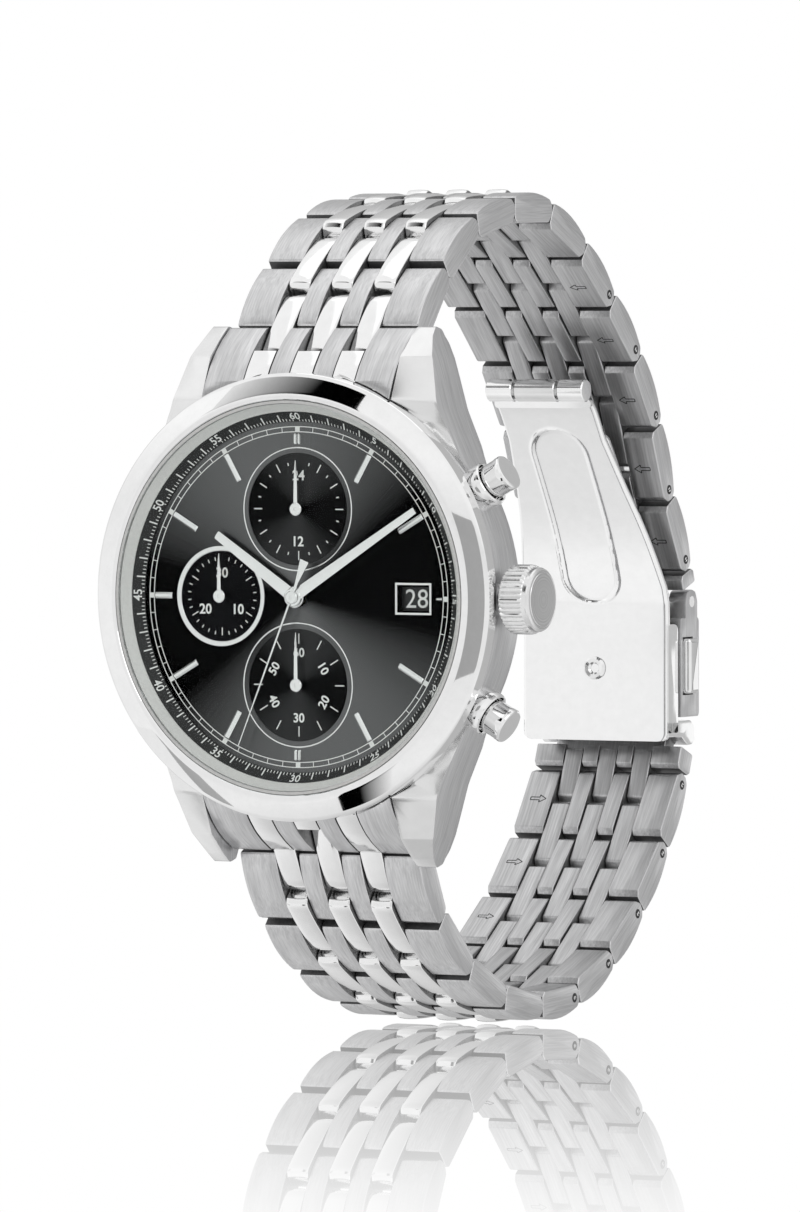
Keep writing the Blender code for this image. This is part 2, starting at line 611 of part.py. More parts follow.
# cover: a shell open towards the wrist, with ears on the cover pin
c_lo, c_hi = COVER_Z
y_in, y_out = COVER_Y
w = WIDTH_CLASP / 2
cover = extrusion("cover", [(y_in, c_lo), (y_out - 0.3, c_lo), (y_out, c_lo + 0.4), (y_out, c_hi - 0.3),
                            (y_out - 0.2, c_hi), (y_in, c_hi)], -w, w, SIDE)
cut(cover, box("hollow", (-w + 1.1, y_in - 1, c_lo + 0.7), (w - 1.1, y_out - 1.0, c_hi - 0.7),
               Matrix.Translation(at(0, 0, 0))),
    box("blade_door", (-6.0, y_in - 1, c_hi - 1.5), (6.0, y_out - 1.0, c_hi + 1), Matrix.Translation(at(0, 0, 0))))
for sx in (1, -1):
    ear = extrusion("ear", [(COVER_PIN[0] - 1.25, c_hi - 0.8), (COVER_PIN[0] + 1.25, c_hi - 0.8),
                            (COVER_PIN[0] + 1.25, COVER_PIN[1]), (COVER_PIN[0] + 0.85, COVER_PIN[1] + 0.95),
                            (COVER_PIN[0], COVER_PIN[1] + 1.2), (COVER_PIN[0] - 0.85, COVER_PIN[1] + 0.95),
                            (COVER_PIN[0] - 1.25, COVER_PIN[1])],
                    min(sx * 6.1, sx * w), max(sx * 6.1, sx * w), SIDE)
    join(cover, ear)
cut(cover, cylinder("bore", BORE_R, -9, 9, 8, across(*COVER_PIN)),
    box("button_hole", (-9, y_in + 0.35, -11.3), (9, y_in + 2.65, -5.5), Matrix.Translation(at(0, 0, 0))))
join(cover, cylinder("cross_pin", 0.5, -w + 0.4, w - 0.4, 8, across(65.0, -12.3)))
part(cover, "clasp_cover", steel("clasp_cover"))
for tag, sx in (("right", 1), ("left", -1)):
    head = box("button", (min(sx * 5.6, sx * 8.8), y_in + 0.5, -11.15), (max(sx * 5.6, sx * 8.8), y_in + 2.5, -5.65),
               Matrix.Translation(at(0, 0, 0)))
    flange = box("flange", (min(sx * 5.4, sx * 6.3), y_in + 0.25, -11.6), (max(sx * 5.4, sx * 6.3), y_in + 2.6, -5.2),
                 Matrix.Translation(at(0, 0, 0)))
    join(head, flange)
    part(head, "clasp_button_" + tag, polished("clasp_button_" + tag))


def strip(name, path, thick, widths):
    """A bent strip of even thickness along a (y, z) path, narrowed in plan."""
    left, right = [], []
    for i, (y, z) in enumerate(path):
        a = path[max(i - 1, 0)]
        b = path[min(i + 1, len(path) - 1)]
        t = Vector((b[0] - a[0], b[1] - a[1])).normalized()
        left.append((y - t.y * thick / 2, z + t.x * thick / 2))
        right.append((y + t.y * thick / 2, z - t.x * thick / 2))
    ob = extrusion(name, left + right[::-1], -w, w, SIDE)
    outline = [(h, z) for h, z in widths] + [(-h, z) for h, z in widths[::-1]]
    combine(ob, [extrusion("plan", outline, -80, 80, frame(X, Z, -Y, at(0, 0, 0)))], "INTERSECT")
    return ob


hy, hz = TOP_HINGE
# blade: centre knuckle on the top hinge, two knuckles on the cover pin
blade = strip("blade", [(hy + 0.9, hz - 0.6), (50.6, 17.9), (53.6, 14.8), (57.0, 8.7), (60.2, 2.4), (61.6, -0.9), (62.9, -2.3),
                        (COVER_PIN[0] - 0.9, COVER_PIN[1] - 0.5)], 0.85,
              [(5.2, -6.0), (5.2, 8.0), (4.6, 14.0), (2.2, 16.6), (2.2, 22.0)])
join(blade, cylinder("knuckle_top", 1.1, -2.2, 2.2, 12, across(hy, hz)),
     cylinder("knuckle_cover", 1.1, -5.2, 5.2, 12, across(*COVER_PIN)))
cut(blade, box("tongue_room", (-2.6, 61.9, -5), (2.6, 70, 1.5), Matrix.Translation(at(0, 0, 0))),
    cylinder("bore_cover", BORE_R, -9, 9, 8, across(*COVER_PIN)),
    cylinder("bore_top", BORE_R, -9, 9, 8, across(hy, hz)))
part(blade, "clasp_blade", polished("clasp_blade"))

# plate: innermost strip that lies on the wrist, with flanges and ears at its lower end
path = [(hy + 0.2, hz - 0.9), (50.2, 16.7), (55.2, 9.0), (58.0, 4.0), (59.9, -1.0), (60.3, -3.2), (60.3, -15.7)]
plate = strip("plate", path, PLATE_T, [(8.0, -20.0), (8.0, -0.6), (7.0, 4.5), (6.1, 9.0), (5.3, 14.0), (5.3, 22.0)])
join(plate, cylinder("knuckle", 1.1, -5.3, 5.3, 12, across(hy, hz)))
cut(plate, box("blade_room", (-2.45, 44, hz - 2.3), (2.45, 60, hz + 5), Matrix.Translation(at(0, 0, 0))))
for sx in (1, -1):
    flange = box("flange", (min(sx * 7.2, sx * w), 60.0, -15.0), (max(sx * 7.2, sx * w), 62.3, -4.2),
                 Matrix.Translation(at(0, 0, 0)))
    ear = extrusion("ear", [(60.0, -13.8), (EAR_PIN[0] + 0.3, -13.75), (EAR_PIN[0] + 1.1, -14.4),
                            (EAR_PIN[0] + 1.1, -15.7), (EAR_PIN[0] + 0.6, -16.15), (EAR_PIN[0] - 0.3, -16.2),
                            (EAR_PIN[0] - 1.0, -15.8), (EAR_PIN[0] - 1.7, -15.3), (60.0, -15.3)],
                    min(sx * 6.35, sx * w), max(sx * 6.35, sx * w), SIDE)
    join(plate, flange, ear)
join(plate, cylinder("top_pin", PIN_R, -5.0, 5.0, 8, across(hy, hz)),
     cylinder("ear_pin", PIN_R, -7.7, 7.7, 8, across(*EAR_PIN)),
     turned("post", [(0, 60.2), (0.7, 60.2), (0.7, 63.2), (1.1, 63.5), (1.1, 64.2), (0, 64.2)], 12,
            frame(X, -Z, Y, at(0, 0, -8.6))))
part(plate, "clasp_plate", polished("clasp_plate"))

# every piece's origin is on its own joint's axis or at its own centre line; an
# empty stands at the case back for the whole object
root = bpy.data.objects.new("wristwatch_origin", None)
PARTS.objects.link(root)
bpy.context.view_layer.update()
for ob in PARTS.objects:
    if ob.type == "MESH":
        world = ob.matrix_world.copy()
        ob.parent = root
        ob.matrix_world = world
for ob in CUTTERS.objects:
    ob.hide_render = True
    ob.display_type = "WIRE"
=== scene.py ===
"""Looks of the steel chronograph wristwatch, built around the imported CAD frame.

Units: metres in Blender; lengths below are millimetres and are scaled by MM.
Row frame: origin at the case back, +Z to 12 o'clock, +X to the crown, -Y out
through the dial. `y` depths are measured from the dial face (y = 0).
"""
import math

import bpy
import bmesh
from mathutils import Matrix, Vector


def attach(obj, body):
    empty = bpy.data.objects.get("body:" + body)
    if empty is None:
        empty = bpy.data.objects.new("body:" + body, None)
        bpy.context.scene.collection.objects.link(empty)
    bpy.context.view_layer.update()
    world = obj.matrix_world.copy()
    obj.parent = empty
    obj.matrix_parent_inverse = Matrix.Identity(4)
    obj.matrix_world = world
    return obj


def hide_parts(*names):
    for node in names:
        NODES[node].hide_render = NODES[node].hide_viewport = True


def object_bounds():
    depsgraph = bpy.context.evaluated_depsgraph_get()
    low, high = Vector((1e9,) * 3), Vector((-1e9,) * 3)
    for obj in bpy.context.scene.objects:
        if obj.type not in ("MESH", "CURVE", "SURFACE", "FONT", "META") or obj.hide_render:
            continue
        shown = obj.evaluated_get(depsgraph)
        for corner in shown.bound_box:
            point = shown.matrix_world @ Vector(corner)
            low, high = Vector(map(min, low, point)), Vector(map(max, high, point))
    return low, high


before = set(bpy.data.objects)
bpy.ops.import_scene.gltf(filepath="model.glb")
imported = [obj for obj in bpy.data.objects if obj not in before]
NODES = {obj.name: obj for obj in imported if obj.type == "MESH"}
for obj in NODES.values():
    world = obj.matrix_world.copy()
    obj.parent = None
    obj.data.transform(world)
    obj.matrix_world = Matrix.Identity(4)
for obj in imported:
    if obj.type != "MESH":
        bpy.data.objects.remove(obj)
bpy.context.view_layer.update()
SCENE = bpy.context.scene

MM = 0.001
BACK = 8.6
X, Y, Z = Vector((1, 0, 0)), Vector((0, 1, 0)), Vector((0, 0, 1))


# ---------------------------------------------------------------- helpers ----
def at(x, y, z):
    return Vector((x * MM, (y - BACK) * MM, z * MM))


def axes(ex, ey, ez, origin):
    m = Matrix((ex, ey, ez)).transposed().to_4x4()
    m.translation = origin
    return m


FACE = axes(X, Z, -Y, at(0, 0, 0))          # local x right, y up, z to the viewer
SIDE = axes(Y, Z, X, at(0, 0, 0))           # local (x, y, z) is (y, z, x)


def radial(angle, y=2.7):
    a = math.radians(angle)
    out = Vector((math.cos(a), 0, math.sin(a)))
    return axes(Y, out.cross(Y), out, at(0, y, 0))


def clock(angle, h=0.0):
    """Local y towards `angle` degrees clockwise from 12, on the dial, at height h."""
    return FACE @ Matrix.Rotation(math.radians(-angle), 4, "Z") @ Matrix.Translation((0, 0, h * MM))


def rounded(points, radii, steps=4):
    """A closed outline with its corners filleted."""
    out = []
    n = len(points)
    if not hasattr(radii, "__len__"):
        radii = [radii] * n
    for i in range(n):
        p, a, b = Vector(points[i]), Vector(points[i - 1]), Vector(points[(i + 1) % n])
        u, v = (a - p), (b - p)
        lu, lv = u.length, v.length
        r = radii[i]
        if r <= 0 or lu < 1e-9 or lv < 1e-9:
            out.append(tuple(p))
            continue
        u, v = u / lu, v / lv
        cosang = max(-1.0, min(1.0, u.dot(v)))
        ang = math.acos(cosang)
        if ang > math.pi - 0.02:
            out.append(tuple(p))
            continue
        d = min(r / math.tan(ang / 2), 0.46 * lu, 0.46 * lv)
        s, e = p + u * d, p + v * d
        for k in range(steps + 1):
            t = k / steps
            q = s * (1 - t) ** 2 + p * 2 * t * (1 - t) + e * t * t
            out.append(tuple(q))
    return out


def inset(outline, d):
    """Move each corner of a counter-clockwise outline inwards by d."""
    n = len(outline)
    out = []
    for i in range(n):
        p, a, b = Vector(outline[i]), Vector(outline[i - 1]), Vector(outline[(i + 1) % n])
        e1, e2 = (p - a), (b - p)
        if e1.length < 1e-9:
            e1 = e2
        if e2.length < 1e-9:
            e2 = e1
        n1 = Vector((-e1.y, e1.x)).normalized()
        n2 = Vector((-e2.y, e2.x)).normalized()
        m = n1 + n2
        if m.length < 1e-6:
            m = n1
        m.normalize()
        k = max(0.5, m.dot(n1))
        out.append((p.x + m.x * d / k, p.y + m.y * d / k))
    return out


def ccw(outline):
    area = sum(outline[i - 1][0] * outline[i][1] - outline[i][0] * outline[i - 1][1] for i in range(len(outline)))
    return list(outline) if area > 0 else list(outline)[::-1]


def bar(outline, z0, z1, bev=0.12, dome=0.0, across=0, steps=3):
    """A prism along local Z with rounded ends, and if asked a dome over its top (y > 0)."""
    outline = ccw(outline)
    turns = [math.pi / 2 * k / steps for k in range(steps + 1)] if bev > 0 else [math.pi / 2]
    rings = [(z0 + bev * (1 - math.cos(a)), bev * (1 - math.sin(a))) for a in turns]
    rings += [(z0 + bev + (z1 - z0 - 2 * bev) * (k + 1) / (across + 1), 0.0) for k in range(across)]
    rings += [(z1 - bev * (1 - math.cos(a)), bev * (1 - math.sin(a))) for a in turns[::-1]]
    mid, half = (z0 + z1) / 2, (z1 - z0) / 2
    verts, faces, n = [], [], len(outline)
    for z, d in rings:
        pts = inset(outline, d) if d > 1e-9 else outline
        drop = dome * ((z - mid) / half) ** 2
        for x, y in pts:
            verts.append((x, y - (drop if y > 0.3 else 0.0), z))
    for k in range(len(rings) - 1):
        for i in range(n):
            j = (i + 1) % n
            faces.append((k * n + i, k * n + j, (k + 1) * n + j, (k + 1) * n + i))
    faces.append(tuple(range(n - 1, -1, -1)))
    faces.append(tuple((len(rings) - 1) * n + i for i in range(n)))
    return verts, faces


def lathe(profile, steps):
    """A profile of (radius, height) turned about local Z; closed unless it runs from axis to axis."""
    verts, faces, index = [], [], []
    for r, h in profile:
        if r < 1e-9:
            index.append([len(verts)])
            verts.append((0, 0, h))
        else:
            index.append(list(range(len(verts), len(verts) + steps)))
            for k in range(steps):
                a = 2 * math.pi * k / steps
                verts.append((r * math.cos(a), r * math.sin(a), h))
    n = len(profile)
    pairs = [(i, i + 1) for i in range(n - 1)]
    if profile[0][0] > 1e-9 or profile[-1][0] > 1e-9:
        pairs.append((n - 1, 0))
    for a, b in pairs:
        ia, ib = index[a], index[b]
        for k in range(steps):
            j = (k + 1) % steps
            if len(ia) == 1 and len(ib) == 1:
                continue
            if len(ia) == 1:
                faces.append((ia[0], ib[k], ib[j]))
            elif len(ib) == 1:
                faces.append((ia[k], ib[0], ia[j]))
            else:
                faces.append((ia[k], ib[k], ib[j], ia[j]))
    return verts, faces


def box_mesh(lo, hi, bev=0.1, steps=2):
    o = [(lo[0], lo[1]), (hi[0], lo[1]), (hi[0], hi[1]), (lo[0], hi[1])]
    return bar(rounded(o, bev, steps) if bev > 0 else o, lo[2], hi[2], bev, steps=steps)


def moved(part, m=None, fn=None):
    verts, faces = part
    out = []
    for v in verts:
        p = Vector(v)
        if fn is not None:
            p = Vector(fn(p))
        if m is not None:
            p = m @ p
        out.append(tuple(p))
    return out, faces


def mat_mm(m):
    """The same matrix with its move in millimetres."""
    c = m.copy()
    c.translation = m.translation / MM
    return c


def merge(parts):
    verts, faces, tags = [], [], []
    for item in parts:
        part, tag = item if len(item) == 2 and isinstance(item[1], int) else (item, 0)
        base = len(verts)
        verts += list(part[0])
        faces += [tuple(i + base for i in f) for f in part[1]]
        tags += [tag] * len(part[1])
    return verts, faces, tags


def make(name, parts, mats, body, matrix=None, nodes=(), angle=32, tag_fn=None, fix=True):
    """A finished piece: its mesh, smooth shading, materials and body."""
    verts, faces, tags = merge(parts)
    mesh = bpy.data.meshes.new(name)
    mesh.from_pydata([(x * MM, y * MM, z * MM) for x, y, z in verts], [], faces)
    for mat in mats:
        mesh.materials.append(mat)
    mesh.polygons.foreach_set("material_index", tags)
    if fix:
        bm = bmesh.new()
        bm.from_mesh(mesh)
        bmesh.ops.remove_doubles(bm, verts=bm.verts, dist=1e-8)
        bmesh.ops.recalc_face_normals(bm, faces=bm.faces)
        bm.to_mesh(mesh)
        bm.free()
    return place(name, mesh, mats, body, matrix, nodes, angle, tag_fn)


def place(name, mesh, mats, body, matrix=None, nodes=(), angle=32, tag_fn=None):
    mesh.name = name
    if not len(mesh.materials):
        for mat in mats:
            mesh.materials.append(mat)
    if tag_fn is not None:
        for p in mesh.polygons:
            t = tag_fn(p.normal, p.center, p.material_index)
            if t is not None:
                p.material_index = t
    mesh.shade_smooth()
    mesh.set_sharp_from_angle(angle=math.radians(angle))
    ob = bpy.data.objects.new(name, mesh)
    SCENE.collection.objects.link(ob)
    if matrix is not None:
        ob.matrix_world = matrix
    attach(ob, body)
    if nodes:
        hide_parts(*nodes)
    return ob


# ----- solids for boolean work (temporary objects, in metres) -----
def temp(part, matrix=None):
    verts, faces, _ = merge([part])
    mesh = bpy.data.meshes.new("tmp")
    mesh.from_pydata([(x * MM, y * MM, z * MM) for x, y, z in verts], [], faces)
    if matrix is not None:
        mesh.transform(matrix)
    bm = bmesh.new()
    bm.from_mesh(mesh)
    bmesh.ops.recalc_face_normals(bm, faces=bm.faces)
    bm.to_mesh(mesh)
    bm.free()
    ob = bpy.data.objects.new("tmp", mesh)
    SCENE.collection.objects.link(ob)
    return ob


def boolean(ob, others, operation):
    for other in others:
        mod = ob.modifiers.new("b", "BOOLEAN")
        mod.operation = operation
        mod.solver = "EXACT"
        mod.object = other
        bpy.context.view_layer.update()
        deps = bpy.context.evaluated_depsgraph_get()
        mesh = bpy.data.meshes.new_from_object(ob.evaluated_get(deps))
        ob.modifiers.remove(mod)
        ob.data = mesh
        bpy.data.objects.remove(other, do_unlink=True)
    return ob


def bevelled(ob, width, segments=2, angle=28):
    """The mesh of a temporary object with its sharp edges rounded; the object goes."""
    bm = bmesh.new()
    bm.from_mesh(ob.data)
    bmesh.ops.remove_doubles(bm, verts=bm.verts, dist=3e-6)
    bmesh.ops.dissolve_degenerate(bm, edges=bm.edges, dist=1e-6)
    bmesh.ops.dissolve_limit(bm, angle_limit=math.radians(0.5), verts=bm.verts, edges=bm.edges)
    bm.to_mesh(ob.data)
    bm.free()
    mod = ob.modifiers.new("bev", "BEVEL")
    mod.width = width * MM
    mod.segments = segments
    mod.limit_method = "ANGLE"
    mod.angle_limit = math.radians(angle)
    mod.use_clamp_overlap = True
    mod.miter_outer = "MITER_SHARP"
    bpy.context.view_layer.update()
    deps = bpy.context.evaluated_depsgraph_get()
    mesh = bpy.data.meshes.new_from_object(ob.evaluated_get(deps))
    bpy.data.objects.remove(ob, do_unlink=True)
    bm = bmesh.new()
    bm.from_mesh(mesh)
    bmesh.ops.recalc_face_normals(bm, faces=bm.faces)
    bm.to_mesh(mesh)
    bm.free()
    return mesh


# -------------------------------------------------------------- materials ----
def base_material(name):
    mat = bpy.data.materials.new(name)
    mat.use_nodes = True
    nt = mat.node_tree
    return mat, nt, nt.nodes["Principled BSDF"]


def node(nt, kind, **values):
    n = nt.nodes.new(kind)
    for k, v in values.items():
        if hasattr(n, k):
            setattr(n, k, v)
        else:
            n.inputs[k].default_value = v
    return n


def ramp(nt, fac, lo, hi, lo_at=0.3, hi_at=0.7):
    r = nt.nodes.new("ShaderNodeMapRange")
    r.inputs["From Min"].default_value = lo_at
    r.inputs["From Max"].default_value = hi_at
    r.inputs["To Min"].default_value = lo
    r.inputs["To Max"].default_value = hi
    nt.links.new(fac, r.inputs["Value"])
    return r.outputs["Result"]


def grey(nt, fac, lo, hi, lo_at=0.3, hi_at=0.7):
    r = nt.nodes.new("ShaderNodeValToRGB")
    r.color_ramp.elements[0].position = lo_at
    r.color_ramp.elements[1].position = hi_at
    r.color_ramp.elements[0].color = (*lo, 1)
    r.color_ramp.elements[1].color = (*hi, 1)
    nt.links.new(fac, r.inputs["Fac"])
    return r.outputs["Color"]


def streaks(nt, scale, detail=3.0, rough=0.6):
    """Noise drawn out along one local axis: scale is per metre on each axis."""
    co = nt.nodes.new("ShaderNodeTexCoord")
    mp = nt.nodes.new("ShaderNodeMapping")
    mp.inputs["Scale"].default_value = scale
    nt.links.new(co.outputs["Object"], mp.inputs["Vector"])
    nz = nt.nodes.new("ShaderNodeTexNoise")
    nz.inputs["Scale"].default_value = 1.0
    nz.inputs["Detail"].default_value = detail
    nz.inputs["Roughness"].default_value = rough
    nt.links.new(mp.outputs["Vector"], nz.inputs["Vector"])
    return nz.outputs["Fac"]


def bump(nt, fac, strength, distance, shader):
    b = nt.nodes.new("ShaderNodeBump")
    b.inputs["Strength"].default_value = strength
    b.inputs["Distance"].default_value = distance
    nt.links.new(fac, b.inputs["Height"])
    nt.links.new(b.outputs["Normal"], shader.inputs["Normal"])
    return b


def brushed(name, scale, lo=(0.50, 0.50, 0.505), hi=(0.74, 0.74, 0.745), r_lo=0.27, r_hi=0.42, strength=0.25):
    mat, nt, sh = base_material(name)
    fine = streaks(nt, scale)
    broad = streaks(nt, tuple(s * 0.17 for s in scale), 2.0)
    mix = nt.nodes.new("ShaderNodeMix")
    mix.data_type = "FLOAT"
    mix.inputs["Factor"].default_value = 0.35
    nt.links.new(fine, mix.inputs["A"])
    nt.links.new(broad, mix.inputs["B"])
    f = mix.outputs["Result"]
    nt.links.new(grey(nt, f, lo, hi, 0.32, 0.68), sh.inputs["Base Color"])
    nt.links.new(ramp(nt, f, r_hi, r_lo), sh.inputs["Roughness"])
    sh.inputs["Metallic"].default_value = 1.0
    bump(nt, f, strength, 0.00001, sh)
    return mat


def polished(name, tint=0.86, rough=0.06, spread=0.035):
    mat, nt, sh = base_material(name)
    wear = streaks(nt, (900, 900, 900), 5.0, 0.65)
    sh.inputs["Metallic"].default_value = 1.0
    nt.links.new(grey(nt, wear, (tint - 0.03,) * 3, (tint + 0.01,) * 3), sh.inputs["Base Color"])
    nt.links.new(ramp(nt, wear, rough, rough + spread), sh.inputs["Roughness"])
    bump(nt, streaks(nt, (260, 260, 260), 2.0), 0.05, 0.00002, sh)
    return mat


def plain(name, colour, rough, metal=0.0, grain=2500.0, amount=0.06, strength=0.1):
    mat, nt, sh = base_material(name)
    n = streaks(nt, (grain,) * 3, 3.0)
    lo = tuple(max(0.0, c * (1 - amount)) for c in colour)
    hi = tuple(min(1.0, c * (1 + amount)) for c in colour)
    nt.links.new(grey(nt, n, lo, hi), sh.inputs["Base Color"])
    nt.links.new(ramp(nt, n, rough - 0.05, rough + 0.05), sh.inputs["Roughness"])
    sh.inputs["Metallic"].default_value = metal
    bump(nt, n, strength, 0.00001, sh)
    return mat


STEEL_LINK = brushed("steel_brushed_lengthwise", (260, 7000, 7000))
STEEL_LINK_IN = brushed("steel_brushed_inside", (230, 5200, 5200), (0.42, 0.42, 0.425), (0.66, 0.66, 0.665), 0.30, 0.46)
STEEL_FLANK = brushed("steel_brushed_flank", (300, 6500, 300))
STEEL_END = brushed("steel_brushed_end_link", (6500, 400, 300))
STEEL_TURNED = plain("steel_turned", (0.60, 0.60, 0.605), 0.30, 1.0, 4000, 0.10, 0.1)
STEEL_PLATE = polished("steel_polished_plate", 0.95, 0.09, 0.03)
POLISH = polished("steel_polished", 0.87, 0.025, 0.02)
POLISH_LINK = polished("steel_polished_links", 0.90, 0.10, 0.04)
POLISH_SOFT = polished("steel_polished_soft", 0.80, 0.16, 0.05)
SILVER = polished("hand_silver_polish", 0.88, 0.14, 0.04)
MARK = polished("marker_silver_polish", 0.86, 0.18, 0.05)
DARK_GAP = plain("shadow_gap_dark", (0.03, 0.03, 0.031), 0.6, 0.4, 3000, 0.2)
SEAL = plain("crystal_seal_pale", (0.50, 0.50, 0.49), 0.5, 0.0, 4000, 0.1)
GASKET = plain("gasket_rubber_black", (0.012, 0.012, 0.013), 0.55, 0.0, 4000, 0.2)
WHITE = plain("print_white", (0.84, 0.84, 0.83), 0.45, 0.0, 5000, 0.03)
BRASS = brushed("movement_brass", (2500, 400, 2500), (0.50, 0.38, 0.15), (0.72, 0.57, 0.27), 0.28, 0.45)
HOLDER = plain("holder_plastic_white", (0.72, 0.72, 0.70), 0.5, 0.0, 1500, 0.05)
BOARD = plain("circuit_board_green", (0.03, 0.16, 0.08), 0.4, 0.0, 2600, 0.35)
BLACK_RING = plain("scale_ring_black", (0.008, 0.008, 0.0085), 0.42, 0.0, 1500, 0.1, 0.02)
SILVER_WALL = plain("inner_wall_satin", (0.80, 0.79, 0.775), 0.42, 0.1, 3500, 0.04, 0.05)
# painted shade: a darker steel for the side faces that look into the gaps between bars
STEEL_SIDE_SHADE = plain("steel_side_painted_shade", (0.26, 0.26, 0.262), 0.45, 1.0, 3000, 0.2)
SHADOW = plain("steel_dark_side", (0.09, 0.09, 0.092), 0.5, 0.7, 3000, 0.2)


def turned_face(name, axis_scale=9000.0, lo=(0.55,) * 3, hi=(0.76,) * 3, rough=(0.22, 0.38)):
    """Fine rings about the local Z axis, as a lathe leaves."""
    mat, nt, sh = base_material(name)
    co = nt.nodes.new("ShaderNodeTexCoord")
    sep = nt.nodes.new("ShaderNodeSeparateXYZ")
    nt.links.new(co.outputs["Object"], sep.inputs["Vector"])
    comb = nt.nodes.new("ShaderNodeCombineXYZ")
    nt.links.new(sep.outputs["X"], comb.inputs["X"])
    nt.links.new(sep.outputs["Y"], comb.inputs["Y"])
    ln = nt.nodes.new("ShaderNodeVectorMath")
    ln.operation = "LENGTH"
    nt.links.new(comb.outputs["Vector"], ln.inputs[0])
    mul = nt.nodes.new("ShaderNodeMath")
    mul.operation = "MULTIPLY"
    mul.inputs[1].default_value = axis_scale
    nt.links.new(ln.outputs["Value"], mul.inputs[0])
    nz = nt.nodes.new("ShaderNodeTexNoise")
    nz.noise_dimensions = "1D"
    nz.inputs["Scale"].default_value = 1.0
    nz.inputs["Detail"].default_value = 3.0
    nt.links.new(mul.outputs["Value"], nz.inputs["W"])
    f = nz.outputs["Fac"]
    nt.links.new(grey(nt, f, lo, hi), sh.inputs["Base Color"])
    nt.links.new(ramp(nt, f, rough[1], rough[0]), sh.inputs["Roughness"])
    sh.inputs["Metallic"].default_value = 1.0
    bump(nt, f, 0.2, 0.00001, sh)
    return mat


def sunray(name, colour=(0.165, 0.165, 0.168), rings=False, lobe=-13.0, dark=0.0):
    """Black lacquer over radial brushing: streaks by the angle about local Z, under a painted sheen: the colour is
    brightest in two opposed wedges along `lobe` and falls to `dark` times the colour across them.
    """
    mat, nt, sh = base_material(name)
    co = nt.nodes.new("ShaderNodeTexCoord")
    sep = nt.nodes.new("ShaderNodeSeparateXYZ")
    nt.links.new(co.outputs["Object"], sep.inputs["Vector"])
    nz = nt.nodes.new("ShaderNodeTexNoise")
    nz.noise_dimensions = "1D"
    nz.inputs["Detail"].default_value = 4.0
    if rings:
        comb = nt.nodes.new("ShaderNodeCombineXYZ")
        nt.links.new(sep.outputs["X"], comb.inputs["X"])
        nt.links.new(sep.outputs["Y"], comb.inputs["Y"])
        ln = nt.nodes.new("ShaderNodeVectorMath")
        ln.operation = "LENGTH"
        nt.links.new(comb.outputs["Vector"], ln.inputs[0])
        src = ln.outputs["Value"]
        nz.inputs["Scale"].default_value = 9000.0
    else:
        an = nt.nodes.new("ShaderNodeMath")
        an.operation = "ARCTAN2"
        nt.links.new(sep.outputs["Y"], an.inputs[0])
        nt.links.new(sep.outputs["X"], an.inputs[1])
        src = an.outputs["Value"]
        nz.inputs["Scale"].default_value = 90.0
    nt.links.new(src, nz.inputs["W"])
    f = nz.outputs["Fac"]
    # painted highlight: the base colour rises with how near each point lies to the lobe axis, two bright wedges
    # standing in for the brushing's reflection
    flat = nt.nodes.new("ShaderNodeCombineXYZ")
    nt.links.new(sep.outputs["X"], flat.inputs["X"])
    nt.links.new(sep.outputs["Y"], flat.inputs["Y"])
    unit = nt.nodes.new("ShaderNodeVectorMath")
    unit.operation = "NORMALIZE"
    nt.links.new(flat.outputs["Vector"], unit.inputs[0])
    along = nt.nodes.new("ShaderNodeVectorMath")
    along.operation = "DOT_PRODUCT"
    along.inputs[1].default_value = (math.sin(math.radians(lobe)), math.cos(math.radians(lobe)), 0)
    nt.links.new(unit.outputs["Vector"], along.inputs[0])
    mag = nt.nodes.new("ShaderNodeMath")
    mag.operation = "ABSOLUTE"
    nt.links.new(along.outputs["Value"], mag.inputs[0])
    ragged = nt.nodes.new("ShaderNodeMath")
    ragged.operation = "MULTIPLY_ADD"
    ragged.inputs[1].default_value = 0.14
    ragged.inputs[2].default_value = -0.07
    nt.links.new(f, ragged.inputs[0])
    total = nt.nodes.new("ShaderNodeMath")
    total.operation = "ADD"
    nt.links.new(mag.outputs["Value"], total.inputs[0])
    nt.links.new(ragged.outputs["Value"], total.inputs[1])
    lo = tuple(c * dark for c in colour)
    nt.links.new(grey(nt, total.outputs["Value"], lo, colour, 0.42, 1.04), sh.inputs["Base Color"])
    nt.links.new(ramp(nt, f, 0.44, 0.34), sh.inputs["Roughness"])
    sh.inputs["Metallic"].default_value = 1.0
    sh.inputs["Anisotropic"].default_value = 0.8
    tan = nt.nodes.new("ShaderNodeTangent")
    tan.direction_type = "RADIAL"
    tan.axis = "Z"
    nt.links.new(tan.outputs["Tangent"], sh.inputs["Tangent"])
    sh.inputs["Anisotropic Rotation"].default_value = 0.0 if rings else 0.25
    bump(nt, f, 0.15, 0.00001, sh)
    return mat


# painted sheen: each of these dial colours is brighter in two opposed wedges
DIAL = sunray("dial_black_sunray_painted_sheen")
SUB = sunray("subdial_black_rings_painted_sheen", (0.040, 0.040, 0.041), True, 8.0, 0.08)
SUB_DARK = sunray("subdial_black_deep_painted_sheen", (0.006, 0.006, 0.007), True, 8.0, 0.5)
CROWN_FACE = turned_face("crown_face_turned", 7000, (0.50,) * 3, (0.62,) * 3, (0.3, 0.42))
BACK_FACE = turned_face("case_back_turned", 6000)


